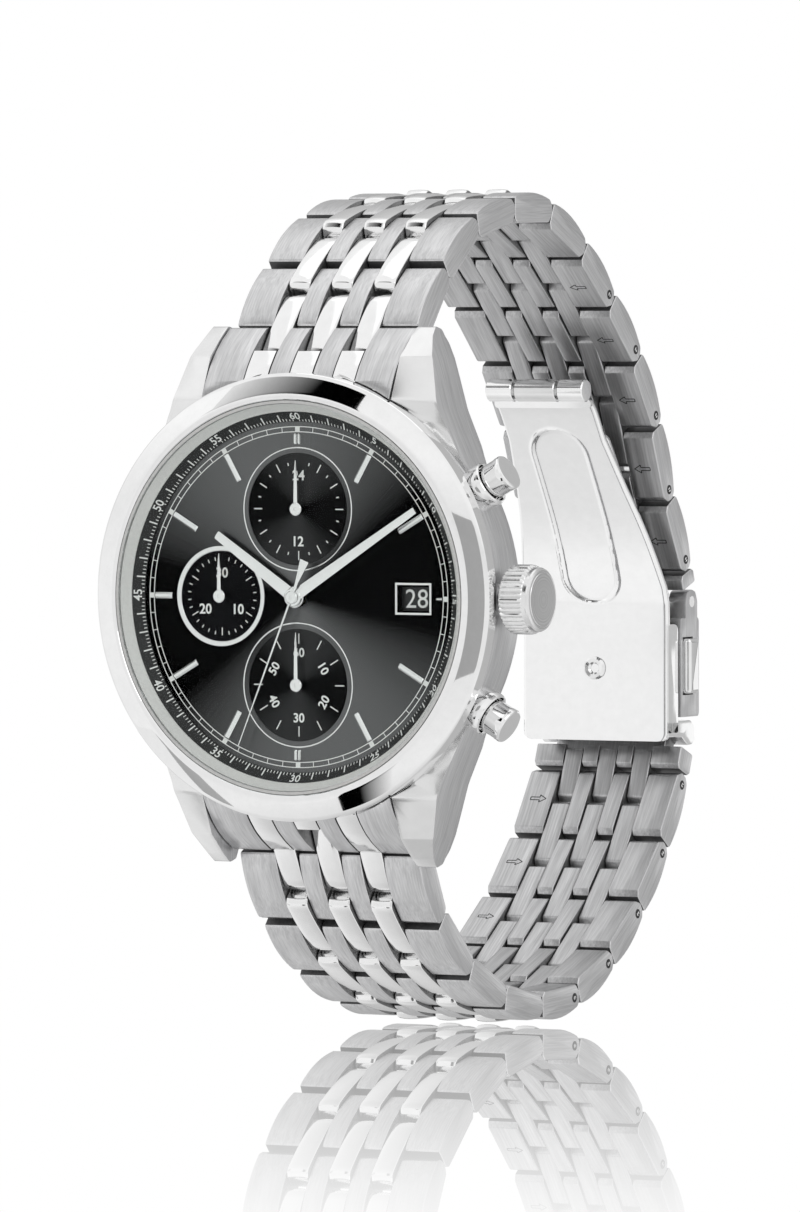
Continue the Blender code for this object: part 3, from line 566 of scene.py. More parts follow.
def crystal_material():
    mat, nt, sh = base_material("crystal_clear")
    nt.nodes.remove(sh)
    out = nt.nodes["Material Output"]
    tr = nt.nodes.new("ShaderNodeBsdfTransparent")
    tr.inputs["Color"].default_value = (0.97, 0.98, 0.975, 1)
    gl = nt.nodes.new("ShaderNodeBsdfAnisotropic")
    gl.inputs["Color"].default_value = (0.9, 0.93, 1.0, 1)
    gl.inputs["Roughness"].default_value = 0.02
    fr = nt.nodes.new("ShaderNodeFresnel")
    fr.inputs["IOR"].default_value = 1.25
    sc = nt.nodes.new("ShaderNodeMath")
    sc.operation = "MULTIPLY"
    sc.inputs[1].default_value = 0.18
    nt.links.new(fr.outputs["Fac"], sc.inputs[0])
    mx = nt.nodes.new("ShaderNodeMixShader")
    nt.links.new(sc.outputs["Value"], mx.inputs["Fac"])
    nt.links.new(tr.outputs["BSDF"], mx.inputs[1])
    nt.links.new(gl.outputs["BSDF"], mx.inputs[2])
    nt.links.new(mx.outputs["Shader"], out.inputs["Surface"])
    return mat


CRYSTAL = crystal_material()

# ------------------------------------------------------------- watch head ----
BEZEL_R, BEZEL_EDGE_Y, BEZEL_TOP_Y = 20.9, -1.3, -2.2
CASE_R, CASE_FRONT_Y, CASE_REAR_Y, CAVITY_R = 20.3, 0.45, 5.9, 17.8
LUG_GAP = 10.1
SEG = 144


def flip(profile):
    """(radius, depth y) to (radius, height) for pieces turned in the FACE frame."""
    return [(r, -y) for r, y in profile]


case = temp(lathe(flip([(CAVITY_R - 0.9, CASE_FRONT_Y), (CASE_R, CASE_FRONT_Y), (CASE_R, CASE_REAR_Y),
                        (CAVITY_R - 0.9, CASE_REAR_Y)]), SEG), FACE)
LUG_SLANT = math.tan(math.radians(22.0))
lug_side = rounded([(0.75, 8.6), (-0.4, 16.5), (-0.35, 18.4), (1.45, 22.4), (3.7, 24.35), (4.9, 25.2),
                    (6.1, 24.9), (6.8, 23.6), (6.9, 20.5), (6.9, 14.0), (5.6, 10.4), (5.6, 8.6)],
                   [0, 3.0, 2.0, 0.5, 0.6, 0.6, 0.5, 0.8, 0.8, 0.8, 1.0, 0], 3)
lug_plan = rounded([(LUG_GAP, 8.0), (LUG_GAP, 27.0), (11.4, 27.0), (12.1, 24.3), (12.95, 22.2), (14.3, 17.4), (16.1, 13.2),
                    (17.25, 10.7), (18.0, 9.3), (18.0, 8.0)], [0, 0, 0, 1.0, 2.0, 6, 4, 3, 0, 0], 4)


def slanted(p):
    """Lug front faces fall away outwards; the depth is local x, across is local z."""
    w = max(0.0, min(1.0, (7.0 - p.x) / 5.6))
    return (p.x + LUG_SLANT * w * (min(abs(p.z), 14.5) - LUG_GAP), p.y, p.z)


for sx in (1, -1):
    for sz in (1, -1):
        lo, hi = (9.0, 18.5) if sx > 0 else (-18.5, -9.0)
        side = temp(moved(bar([(y, sz * z) for y, z in lug_side], lo, hi, 0.0, across=5), None, slanted), SIDE)
        plan = temp(bar([(sx * x, sz * z) for x, z in lug_plan], -12, 12, 0.0, steps=1), axes(X, Z, -Y, at(0, 0, 0)))
        boolean(side, [plan], "INTERSECT")
        boolean(case, [side], "UNION")


def cyl(r, lo, hi, sides=SEG):
    return lathe([(0, lo), (r, lo), (r, hi), (0, hi)], sides)


boolean(case, [
    temp(cyl(CAVITY_R, -12, 5), FACE),
    temp(cyl(BEZEL_R + 0.12, -CASE_FRONT_Y + 0.002, 6), FACE),
    temp(cyl(19.45, -12, -CASE_REAR_Y - 0.002), FACE),
    temp(cyl(1.3, 15, 23, 32), radial(0)),
    temp(cyl(1.45, 17, 23, 32), radial(29.5)),
    temp(cyl(1.45, 17, 23, 32), radial(-29.5)),
    temp(box_mesh((-LUG_GAP, -4, 19.2), (LUG_GAP, 9, 30), 0.0, 1), Matrix.Translation(at(0, 0, 0))),
    temp(box_mesh((-LUG_GAP, -4, -30), (LUG_GAP, 9, -19.2), 0.0, 1), Matrix.Translation(at(0, 0, 0))),
], "DIFFERENCE")


def case_tags(n, c, _):
    return 1 if n.y < -0.30 else 0


place("case_middle_shell", bevelled(case, 0.16, 2), [STEEL_FLANK, POLISH_SOFT], "watch_head",
      nodes=["case_middle"], tag_fn=case_tags)

make("bezel_polished", [lathe(flip([
    (18.0, 0.3), (20.62, 0.3), (20.80, 0.25), (20.90, 0.1), (20.9, -1.05), (20.88, -1.2), (20.80, -1.32),
    (20.66, -1.42), (20.5, -1.50), (19.2, -2.06), (19.02, -2.12), (18.9, -2.15), (18.62, -2.2), (18.48, -2.2),
    (18.40, -2.12), (18.38, -1.9), (18.38, -1.35), (18.0, -1.3)]), 192)], [POLISH], "watch_head",
    FACE, ["bezel"], angle=20)
make("crystal_dome", [lathe(flip([(0, -1.9), (17.9, -1.9), (18.0, -1.98), (18.02, -2.25), (17.9, -2.36), (16.5, -2.4),
                                  (0, -2.4)]), 160)], [CRYSTAL], "watch_head", FACE, ["crystal"])
make("crystal_seal", [lathe(flip([(18.06, -1.5), (18.34, -1.5), (18.34, -2.12), (18.06, -2.12)]), 144)], [SEAL],
     "watch_head", FACE, ["crystal_gasket"])
make("inner_wall", [lathe(flip([(17.30, -0.93), (17.38, -0.95), (18.02, -1.84), (18.02, -1.5), (17.8, -1.2),
                                (17.5, -0.8)]), 160)], [SILVER_WALL], "watch_head", FACE)

# chapter ring: a black cone with white print lying on it
CONE_IN, CONE_OUT = (16.35, 0.10), (17.35, 0.95)
make("chapter_ring", [lathe([(16.35, 0.02), (CONE_IN[0], CONE_IN[1]), CONE_OUT, (17.35, 0.02)], 160)], [BLACK_RING],
     "watch_head", FACE, ["scale_ring"])
SLOPE_LEN = math.hypot(CONE_OUT[0] - CONE_IN[0], CONE_OUT[1] - CONE_IN[1])
TILT = math.atan2(CONE_OUT[1] - CONE_IN[1], CONE_OUT[0] - CONE_IN[0])


def on_cone(angle, q):
    """Matrix (mm) of a place on the cone: local y outwards up the slope."""
    r = CONE_IN[0] + (CONE_OUT[0] - CONE_IN[0]) * q
    h = CONE_IN[1] + (CONE_OUT[1] - CONE_IN[1]) * q
    return (Matrix.Rotation(math.radians(-angle), 4, "Z") @ Matrix.Translation((0, r, h))
            @ Matrix.Rotation(TILT, 4, "X"))


def digits(text, height, depth=0.02, weight=0.0):
    """Generic numerals as a closed mesh centred on the origin."""
    cu = bpy.data.curves.new("numerals", "FONT")
    cu.body = text
    cu.size = 1.0
    cu.extrude = 0.02
    cu.offset = weight
    cu.resolution_u = 3
    ob = bpy.data.objects.new("numerals", cu)
    SCENE.collection.objects.link(ob)
    bpy.context.view_layer.update()
    mesh = bpy.data.meshes.new_from_object(ob.evaluated_get(bpy.context.evaluated_depsgraph_get()))
    bpy.data.objects.remove(ob, do_unlink=True)
    xs = [v.co.x for v in mesh.vertices]
    ys = [v.co.y for v in mesh.vertices]
    cx, cy, k = (min(xs) + max(xs)) / 2, (min(ys) + max(ys)) / 2, height / (max(ys) - min(ys))
    verts = [((v.co.x - cx) * k, (v.co.y - cy) * k, depth if v.co.z > 0 else 0.0) for v in mesh.vertices]
    faces = [tuple(p.vertices) for p in mesh.polygons]
    bpy.data.meshes.remove(mesh)
    return verts, faces


def tile(x0, x1, y0, y1, h=0.018):
    """A flat printed bar standing h above its place."""
    v = [(x0, y0, -0.01), (x1, y0, -0.01), (x1, y1, -0.01), (x0, y1, -0.01),
         (x0, y0, h), (x1, y0, h), (x1, y1, h), (x0, y1, h)]
    return v, [(3, 2, 1, 0), (4, 5, 6, 7), (0, 1, 5, 4), (1, 2, 6, 5), (2, 3, 7, 6), (3, 0, 4, 7)]


def flat_ring(r0, r1, h=0.018, steps=160):
    return lathe([(r0, -0.01), (r1, -0.01), (r1, h), (r0, h)], steps)


scale_print = []
for k in range(300):
    a = k * 1.2
    minute = k % 5 == 0
    label = k % 25 == 0
    top = 0.66 if minute else 0.27
    if label:
        continue
    near_label = min(k % 25, 25 - k % 25) < 3
    if near_label:
        top = min(top, 0.20)
    m = on_cone(a, 0.0)
    wdt = 0.065 if minute else 0.036
    scale_print.append(moved(tile(-wdt, wdt, 0.06, top * SLOPE_LEN), m))
for k in range(12):
    a = k * 30
    label = "60" if k == 0 else str(5 * k)
    turn = Matrix.Rotation(math.pi, 4, "Z") if 90 < a < 270 else Matrix.Identity(4)
    scale_print.append(moved(digits(label, 0.82, 0.02, 0.012), on_cone(a, 0.53) @ turn))
make("chapter_print", scale_print, [WHITE], "watch_head", FACE, angle=60, fix=False)

# dial plate with three round wells
SUBS = {"24h": (0.0, 8.2, 5.80, 5.30), "60s": (0.0, -8.2, 5.85, 5.30), "30m": (-8.2, 0.0, 4.73, 4.28)}
dial = temp(lathe([(0, -0.5), (17.3, -0.5), (17.3, 0.0), (0, 0.0)], 160))
wells = [temp(cyl(ri - 0.05, -0.3, 1, 96), Matrix.Translation((sx * MM, sy * MM, 0)))
         for sx, sy, ro, ri in SUBS.values()]
boolean(dial, wells + [temp(box_mesh((10.75, -1.1, -1), (13.85, 1.1, 1), 0.0, 1)), temp(cyl(0.95, -1, 1, 32))],
        "DIFFERENCE")
dial_mesh = dial.data.copy()
bpy.data.objects.remove(dial, do_unlink=True)
place("dial_plate", dial_mesh, [DIAL], "watch_head", FACE, ["dial"])

for tag, (sx, sy, ro, ri) in SUBS.items():
    m = FACE @ Matrix.Translation((sx * MM, sy * MM, 0))
    small = tag == "30m"
    floor = [(0.35, -0.33), (0.35, -0.2), (ri - 0.5, -0.2), (ri - 0.05, -0.08), (ri - 0.02, -0.08), (ri - 0.02, -0.33)]
    make("subdial_" + tag, [lathe(floor, 96)], [SUB_DARK if small else SUB], "watch_head", m)
    if small:
        ring = [(ri - 0.05, -0.10), (ri - 0.05, 0.05), (ri + 0.02, 0.11), (ro - 0.2, 0.13), (ro - 0.05, 0.10), (ro, 0.0),
                (ro, -0.1)]
    else:
        ring = [(ro - 0.14, -0.05), (ro - 0.14, 0.03), (ro - 0.10, 0.06), (ro - 0.04, 0.06), (ro, 0.03), (ro, -0.05)]
    make("subdial_ring_" + tag, [lathe(ring, 128)], [MARK], "watch_head", m)

# prints on the dial
prints = [flat_ring(15.36, 15.44), flat_ring(15.84, 15.92)]
for k in range(60):
    m = Matrix.Rotation(math.radians(-6 * k), 4, "Z")
    if k % 5 == 0:
        prints.append(moved(tile(-0.24, 0.24, 15.38, 15.90, 0.02), m))
    else:
        prints.append(moved(tile(-0.035, 0.035, 15.42, 15.86), m))
make("dial_track_print", prints, [WHITE], "watch_head", FACE, angle=60)


def sub_print(tag, ticks, numerals, height):
    sx, sy, ro, ri = SUBS[tag]
    parts = []
    for a, r0, r1, hw in ticks:
        parts.append(moved(tile(-hw, hw, r0, r1, 0.02), Matrix.Rotation(math.radians(-a), 4, "Z")))
    for text, a, r, follow in numerals:
        t = math.radians(a)
        m = Matrix.Translation((r * math.sin(t), r * math.cos(t), 0))
        if follow:
            m = m @ Matrix.Rotation(-t + (math.pi if 90 < a < 270 else 0), 4, "Z")
        parts.append(moved(digits(text, height, 0.02, 0.02), m))
    make("subdial_print_" + tag, parts, [WHITE], "watch_head",
         FACE @ Matrix.Translation((sx * MM, sy * MM, -0.2 * MM)), angle=60, fix=False)


sub_print("24h", [(15 * k, 3.9 if k % 2 == 0 else 4.15, 4.75 if k % 2 == 0 else 4.42, 0.05) for k in range(24) if k],
          [("24", 0, 3.15, False), ("12", 180, 3.0, False)], 0.95)
sub_print("30m", [(12 * k, 2.95 if k % 5 == 0 else 3.35, 3.68, 0.04 if k % 5 else 0.045) for k in range(30) if k],
          [("30", 0, 2.2, False), ("20", 236, 2.15, False), ("10", 124, 2.15, False)], 0.98)
sub_print("60s", [(30 * k, 3.85, 4.8, 0.05) for k in range(12)],
          [("60", 0, 3.05, False), ("10", 60, 3.05, True), ("20", 120, 3.05, True), ("30", 180, 3.05, False),
           ("40", 240, 3.05, True), ("50", 300, 3.05, True)], 0.9)


def baton(angle, inner, outer, width, shift=0.0, height=0.22):
    """An applied hour marker: flat top with two polished facets, ends cut back."""
    w, c = width / 2, width * 0.22
    sec = [(-w, 0.0), (w, 0.0), (w, height * 0.45), (c, height), (-c, height), (-w, height * 0.45)]
    verts, faces, n = [], [], len(sec)
    for y, k in ((inner, 0.7), (inner + 0.1, 1.0), (outer - 0.1, 1.0), (outer, 0.7)):
        for x, z in sec:
            verts.append((shift + x * (0.92 if k < 1 else 1.0), y, z * k))
    for r in range(3):
        for i in range(n):
            j = (i + 1) % n
            faces.append((r * n + i, r * n + j, (r + 1) * n + j, (r + 1) * n + i))
    faces.append(tuple(range(n - 1, -1, -1)))
    faces.append(tuple(3 * n + i for i in range(n)))
    return moved((verts, faces), Matrix.Rotation(math.radians(-angle), 4, "Z"))


marks = [baton(30 * h, 12.40, 15.30, 0.58) for h in (1, 2, 4, 5, 7, 8, 10, 11)]
marks += [baton(270, 13.4, 15.3, 0.58), baton(90, 14.72, 15.3, 0.30)]
marks += [baton(30 * h, 14.25, 15.25, 0.30, s) for h in (0, 6) for s in (-0.2, 0.2)]
make("hour_markers", marks, [MARK], "watch_head", FACE, angle=15)

fr_out, fr_in = (10.38, -1.5, 14.22, 1.5), (10.62, -1.26, 13.98, 1.26)
frame_parts = []
for (x0, y0, x1, y1) in ((fr_out[0], fr_out[1], fr_out[2], fr_in[1]), (fr_out[0], fr_in[3], fr_out[2], fr_out[3]),
                         (fr_out[0], fr_in[1] - 0.05, fr_in[0], fr_in[3] + 0.05),
                         (fr_in[2], fr_in[1] - 0.05, fr_out[2], fr_in[3] + 0.05)):
    frame_parts.append(box_mesh((x0, y0, -0.02), (x1, y1, 0.15), 0.05))
make("date_window_frame", frame_parts, [MARK], "watch_head", FACE)

DATE_BLACK = plain("date_ring_black", (0.012, 0.012, 0.013), 0.5, 0.0, 4000, 0.2)
make("date_ring_disc", [lathe(flip([(9.9, 0.6), (14.4, 0.6), (14.4, 0.8), (9.9, 0.8)]), 96)], [DATE_BLACK], "date_ring",
     FACE, ["date_ring"])
date_print = []
for k in range(31):
    n = (28 - 1 + k) % 31 + 1
    m = Matrix.Rotation(math.radians(360 / 31 * k), 4, "Z") @ Matrix.Translation((12.3, 0, -0.6))
    date_print.append(moved(digits(str(n), 1.75, 0.02, 0.0), m))
make("date_ring_print", date_print, [WHITE], "date_ring", FACE, angle=60, fix=False)


# ------------------------------------------------------------------ hands ----
def hand(name, stations, y0, thick, angle, x, z, hub_r, hole_r, pipe, foot, body, ridge=0.05, width_hub=None):
    """Stations are (along, half width); the top has a raised middle, the hub is a turned boss."""
    m = Matrix.Translation((x * MM, z * MM, 0)) @ Matrix.Rotation(math.radians(-angle), 4, "Z")
    h0, h1 = -y0, -y0 + thick
    verts, faces = [], []
    for s, w in stations:
        verts += [(-w, s, h0), (w, s, h0), (w, s, h1 - ridge), (w * 0.3, s, h1), (-w * 0.3, s, h1), (-w, s, h1 - ridge)]
    n = 6
    for r in range(len(stations) - 1):
        for i in range(n):
            j = (i + 1) % n
            faces.append((r * n + i, r * n + j, (r + 1) * n + j, (r + 1) * n + i))
    faces.append(tuple(range(n - 1, -1, -1)))
    faces.append(tuple((len(stations) - 1) * n + i for i in range(n)))
    hub = [(hole_r, h0 - 0.02), (hub_r, h0 - 0.02), (hub_r, h1 - 0.02), (hub_r - 0.08, h1 + 0.05),
           (hub_r * 0.62, h1 + 0.07), (hole_r + 0.03, h1 + 0.05), (hole_r, h1)]
    stem = lathe([(0, -foot), (pipe, -foot), (pipe, h1 - 0.01), (0, h1 - 0.01)], 20)
    if hole_r > pipe:
        stem = lathe([(pipe, -foot), (hole_r + 0.05, -foot), (hole_r + 0.05, h1 - 0.01), (pipe, h1 - 0.01)], 24)
    return make(name.replace("hand", "hand_blade"), [(verts, faces), lathe(hub, 40), stem], [SILVER], body,
                FACE @ m, [name], angle=14)


hand("hour_hand", [(0.3, 0.62), (10.0, 0.40), (10.1, 0.36)], -0.62, 0.15, 304.8, 0, 0, 1.0, 0.70, 0.66, 0.95,
     "hour_hand", 0.06)
hand("minute_hand", [(0.3, 0.56), (15.2, 0.31), (15.3, 0.28)], -0.90, 0.15, 57.5, 0, 0, 0.88, 0.45, 0.40, 1.10,
     "minute_hand", 0.06)
hand("chrono_seconds_hand", [(-3.72, 0.44), (-3.66, 0.47), (-1.4, 0.14), (-0.5, 0.10), (6.0, 0.085), (15.1, 0.05)],
     -1.18, 0.11, 202.3, 0, 0, 0.62, 0.16, 0.28, 1.3, "chrono_seconds_hand", 0.03)
for name, length, sx, sz in (("hand_24_hour", 4.55, 0, 8.2), ("hand_30_minute", 4.0, -8.2, 0), ("hand_60_second", 4.9, 0, -8.2)):
    hand(name, [(0.3, 0.20), (length * 0.55, 0.17), (length * 0.8, 0.12), (length, 0.03)], -0.38, 0.1, 0, sx, sz,
         0.63, 0.12, 0.22, 1.2, name, 0.03)


# ------------------------------------------------------- crown and pushers ----
def crown_piece():
    teeth, verts, faces = 40, [], []
    rings = [(21.12, 2.75, 0.0), (21.3, 3.02, 0.5), (21.55, 3.16, 1.0), (23.35, 3.16, 1.0), (23.6, 3.05, 0.5),
             (23.7, 2.95, 0.0)]
    n = teeth * 4
    for h, r, k in rings:
        for i in range(n):
            d = (0.10, 0.04, -0.16, 0.04)[i % 4] * k
            a = 2 * math.pi * i / n
            verts.append(((r + d * 0.7) * math.cos(a), (r + d * 0.7) * math.sin(a), h))
    for r in range(len(rings) - 1):
        for i in range(n):
            j = (i + 1) % n
            faces.append((r * n + i, r * n + j, (r + 1) * n + j, (r + 1) * n + i))
    faces.append(tuple(range(n - 1, -1, -1)))
    faces.append(tuple((len(rings) - 1) * n + i for i in range(n)))
    cap = lathe([(0, 23.6), (2.98, 23.6), (3.0, 23.75), (2.98, 24.05), (2.9, 24.2), (2.72, 24.32), (2.6, 24.36), (2.56, 24.33),
                 (2.5, 24.33), (2.45, 24.4), (1.5, 24.43), (0, 24.44)], 72)
    return [(verts, faces), cap]


def crown_tags(n, c, _):
    return 1 if n.z > 0.9 and c.z > 24.3 * MM else 0


make("crown_knurled", crown_piece(), [POLISH_SOFT, CROWN_FACE], "crown", radial(0), ["crown"],
     angle=24, tag_fn=crown_tags)
for tag, ang in (("2", 29.5), ("4", -29.5)):
    make("pusher_collar_" + tag, [lathe([(1.80, 19.9), (2.1, 19.9), (2.14, 20.6), (2.14, 21.6), (2.10, 21.78), (1.98, 21.88),
                                         (1.90, 21.86), (1.82, 21.7), (1.82, 20.5), (1.5, 20.5), (1.5, 19.9)], 56)],
         [POLISH], "watch_head", radial(ang), ["pusher_tube_" + tag], angle=25)
    make("pusher_cap_" + tag, [lathe([(0, 17.2), (0.5, 17.2), (0.5, 21.6), (1.62, 21.6), (1.66, 21.7), (1.66, 23.3), (1.7, 23.4),
                                      (1.7, 23.8), (1.64, 23.92), (1.52, 23.98), (0, 24.0)], 56)], [POLISH], "pusher_" + tag,
         radial(ang), ["pusher_" + tag], angle=25)

make("case_back_cover", [lathe(flip([(0, 7.3), (16.4, 7.3), (16.4, 6.02), (19.2, 6.02), (19.3, 6.1), (19.3, 6.95), (19.2, 7.1),
                                     (18.6, 7.9), (17.4, 8.3), (17.2, 8.36), (16.9, 8.40), (16.75, 8.5), (16.6, 8.57),
                                     (16.4, 8.6), (0, 8.6)]), 128)], [POLISH_SOFT, BACK_FACE], "watch_head",
     FACE, ["case_back"], angle=20, tag_fn=lambda n, c, t: 1 if c.z < -8.55 * MM else 0)

# ---------------------------------------------------------------- bracelet ----
PITCH, NEAR, FAR, T_OUT, T_IN = 7.92, 1.40, 1.08, 1.6, 1.3
FINGER_BACK, SLOT_BACK = 2.25, 2.65
MID_SHARE, BRUSH_SHARE = 0.1215, 0.115
PIN_12, PIN_6 = (5.8, 23.4), (6.4, -22.5)
SLOPE_12 = (50.5, 37.0, 13.5, 1.0, -24.5, -38.0, -42.5, -54.5, -67.0, -61.0)
SLOPE_6 = (-63.5, -41.5, -26.0, -11.5, 3.0, 21.0, 34.5, 45.0, 55.0)
WIDTH_LUG, WIDTH_CLASP = 19.8, 16.0
COVER_PIN, TOP_HINGE, EAR_PIN = (65.1, -2.1), (48.0, 18.8), (64.65, -15.2)
COVER_Y, COVER_Z = (62.8, 66.7), (-13.4, -3.7)


def width_of(index, count):
    return WIDTH_LUG + (WIDTH_CLASP - WIDTH_LUG) * min(1.0, index / (count + 1.0)) ** 0.8


def rows(width):
    mid, brush = MID_SHARE * width, BRUSH_SHARE * width
    return (-(mid + brush), 0.0, mid + brush), mid / 2


def link_frame(pin, slope, sign):
    a = math.radians(slope)
    d = Vector((0, math.cos(a), math.sin(a)))
    n = Vector((0, -math.sin(a), math.cos(a))) * sign
    return axes(d, n, d.cross(n), at(0, pin[0], pin[1]))


def columns(width, gap=0.07):
    """The four brushed columns of a link, as (z0, z1)."""
    (c0, c1, c2), half = rows(width)
    e = half + gap
    return [(-width / 2, c0 - e), (c0 + e, c1 - e), (c1 + e, c2 - e), (c2 + e, width / 2)]


def column_outline(length):
    """Side view of a brushed column: a rolled top, highest a little before its middle."""
    f, n = length + FAR, NEAR

    def top(u):
        return 1.62 - 0.041 * (u - 4.4) ** 2

    crest = [(u, top(u)) for u in (7.8, 7.0, 6.1, 5.2, 4.3, 3.4, 2.6, 1.9)]
    pts = [(n, -0.80), (n + 0.5, -T_IN), (f - 0.75, -T_IN), (f, -0.5), (f, 0.35), (f - 0.45, 0.93)] + crest + [
        (n + 0.16, 1.27), (n, 1.12)]
    return rounded(pts, [0.2, 0.25, 0.5, 0.4, 0.35, 0.5] + [0] * len(crest) + [0.1, 0.08], 4)


def mid_outline(start, end):
    m, h = (start + end) / 2, (end - start) / 2
    crest = [(m + k * h, 1.56 - 0.26 * k * k) for k in (0.86, 0.7, 0.54, 0.36, 0.18, 0.0, -0.18, -0.36, -0.54, -0.7, -0.82)]
    pts = [(start, -0.45), (start + 0.55, -1.12), (end - 0.5, -1.12), (end, -0.6), (end, 1.02)] + crest + [
        (start + 0.28, 1.2), (start, 0.75)]
    return rounded(pts, [0.3, 0.4, 0.35, 0.3, 0.3] + [0] * len(crest) + [0.3, 0.3], 4)


def link_tags(width):
    """0 brushed outside, 1 brushed inside, 2 polished, 4 near ends in the gaps, painted near-black as shade, 5 hidden
    sides, painted a darker steel as shade.
    """
    def tag(n, c, t):
        inner = abs(c.z) < (width / 2 - 0.3) * MM
        if t == 0 and n.x < -0.8:
            return 4
        if t in (0, 2) and abs(n.z) > 0.85 and inner:
            return 5
        if n.y < -0.55 and t in (0, 2):
            return 1
        return t
    return tag


def mids(w_prev, w, start, end):
    """The three polished bars, easing from the previous width's rows to this one's."""
    parts = []
    (centres_a, half_a), (centres_b, half_b) = rows(w_prev), rows(w)
    for ca, cb in zip(centres_a, centres_b):
        def ease(p, ca=ca, cb=cb):
            t = min(1.0, max(0.0, (p.x - start) / (end - start)))
            half = half_a + (half_b - half_a) * t - 0.02
            return (p.x, p.y, ca + (cb - ca) * t + p.z * half)
        o = mid_outline(start, end)
        b = bar(o, -1.0, 1.0, 0.14, 0.10, 3, 3)
        parts.append(moved(b, None, ease))
    return parts


def pin_end(width, side, length):
    """The split pin's end in its hole, on the side face of an outer column."""
    z = side * (width / 2)
    # painted shade: the ring round the pin in its hole and the pin's split are drawn near-black
    parts = [(moved(lathe([(0.0, -0.2), (0.46, -0.2), (0.46, 0.015), (0.36, 0.02), (0.0, 0.02)], 24),
                    Matrix.Translation((length, 0.0, z)) @ (Matrix.Identity(4) if side > 0 else Matrix.Rotation(math.pi, 4, "X"))), 3)]
    parts.append((moved(lathe([(0.0, -0.2), (0.22, -0.2), (0.22, 0.04), (0.19, 0.055), (0.0, 0.055)], 20),
                        Matrix.Translation((length, 0.0, z)) @ (Matrix.Identity(4) if side > 0 else Matrix.Rotation(math.pi, 4, "X"))), 2))
    parts.append((moved(tile(-0.05, 0.05, -0.24, 0.24, 0.065), Matrix.Translation((length, 0.0, z)) @ (
        Matrix.Identity(4) if side > 0 else Matrix.Rotation(math.pi, 4, "X"))), 3))
    return parts


def arrow(width, side, length):
    """A small engraved arrow across the inner face of an outer column: the way its pin is pushed."""
    (c0, c1, c2), half = rows(width)
    zc = side * (c2 + half + width / 2) / 2
    t = -T_IN - 0.004
    s = length * 0.55 + 0.8
    shape = [(0.0, -0.95), (0.42, -0.25), (0.16, -0.25), (0.16, 0.75), (-0.16, 0.75), (-0.16, -0.25), (-0.42, -0.25)]
    lines = [((s + a[0], a[1]), (s + b[0], b[1])) for a, b in zip(shape, shape[1:] + shape[:1])]
    parts = []
    for (a, b), (c, d) in lines:
        dx, dz = c - a, d - b
        ln = math.hypot(dx, dz)
        px, pz = -dz / ln * 0.05, dx / ln * 0.05
        v = [(a + px, t, zc + b + pz), (a - px, t, zc + b - pz), (c - px, t, zc + d - pz), (c + px, t, zc + d + pz)]
        v += [(x, t + 0.02, z) for x, y, z in v]
        parts.append(((v, [(0, 1, 2, 3), (7, 6, 5, 4), (0, 4, 5, 1), (1, 5, 6, 2), (2, 6, 7, 3), (3, 7, 4, 0)]), 3))
    return parts


LINK_MATS = [STEEL_LINK, STEEL_LINK_IN, POLISH_LINK, DARK_GAP, SHADOW, STEEL_SIDE_SHADE]


def build_chain(prefix, pin, slopes, sign, open_end, marked):
    count = len(slopes)
    for i, slope in enumerate(slopes, 1):
        m = link_frame(pin, slope, sign)
        w, w_prev = width_of(i, count), width_of(i - 1, count)
        name = "%s_%02d" % (prefix, i)
        body = [(bar(column_outline(PITCH), a, b, 0.13, 0.0, 0, 3), 0) for a, b in columns(w)]
        # painted shade: a near-black block inside the link, and the link pin drawn near-black, stand for the shade seen
        # through the gaps between bars
        body.append((box_mesh((2.4, -0.75, -w / 2 + 0.6), (4.7, 0.85, w / 2 - 0.6), 0.05), 3))
        if not (open_end and i == count):
            body.append((moved(lathe([(0, -w / 2 + 0.3), (0.5, -w / 2 + 0.3), (0.5, w / 2 - 0.3), (0, w / 2 - 0.3)], 12),
                               Matrix.Translation((PITCH, 0, 0))), 3))
        if i in marked:
            for side in (1, -1):
                body += pin_end(w, side, PITCH)
            body += arrow(w, 1, PITCH)
        make(name + "_brushed", body, LINK_MATS, name, m, [name], tag_fn=link_tags(w))
        make(name + "_polished_rows", [(p, 2) for p in mids(w_prev, w, -FINGER_BACK, PITCH - SLOT_BACK - 0.02)],
             LINK_MATS, name, m, tag_fn=link_tags(w))
        a = math.radians(slope)
        pin = (pin[0] + PITCH * math.cos(a), pin[1] + PITCH * math.sin(a))
    return pin, width_of(count, count)


last_12, width_12 = build_chain("link_12", PIN_12, SLOPE_12, 1, False, (6, 7, 8, 9, 10))
last_6, width_6 = build_chain("link_6", PIN_6, SLOPE_6, -1, True, (5, 6, 7, 8, 9))


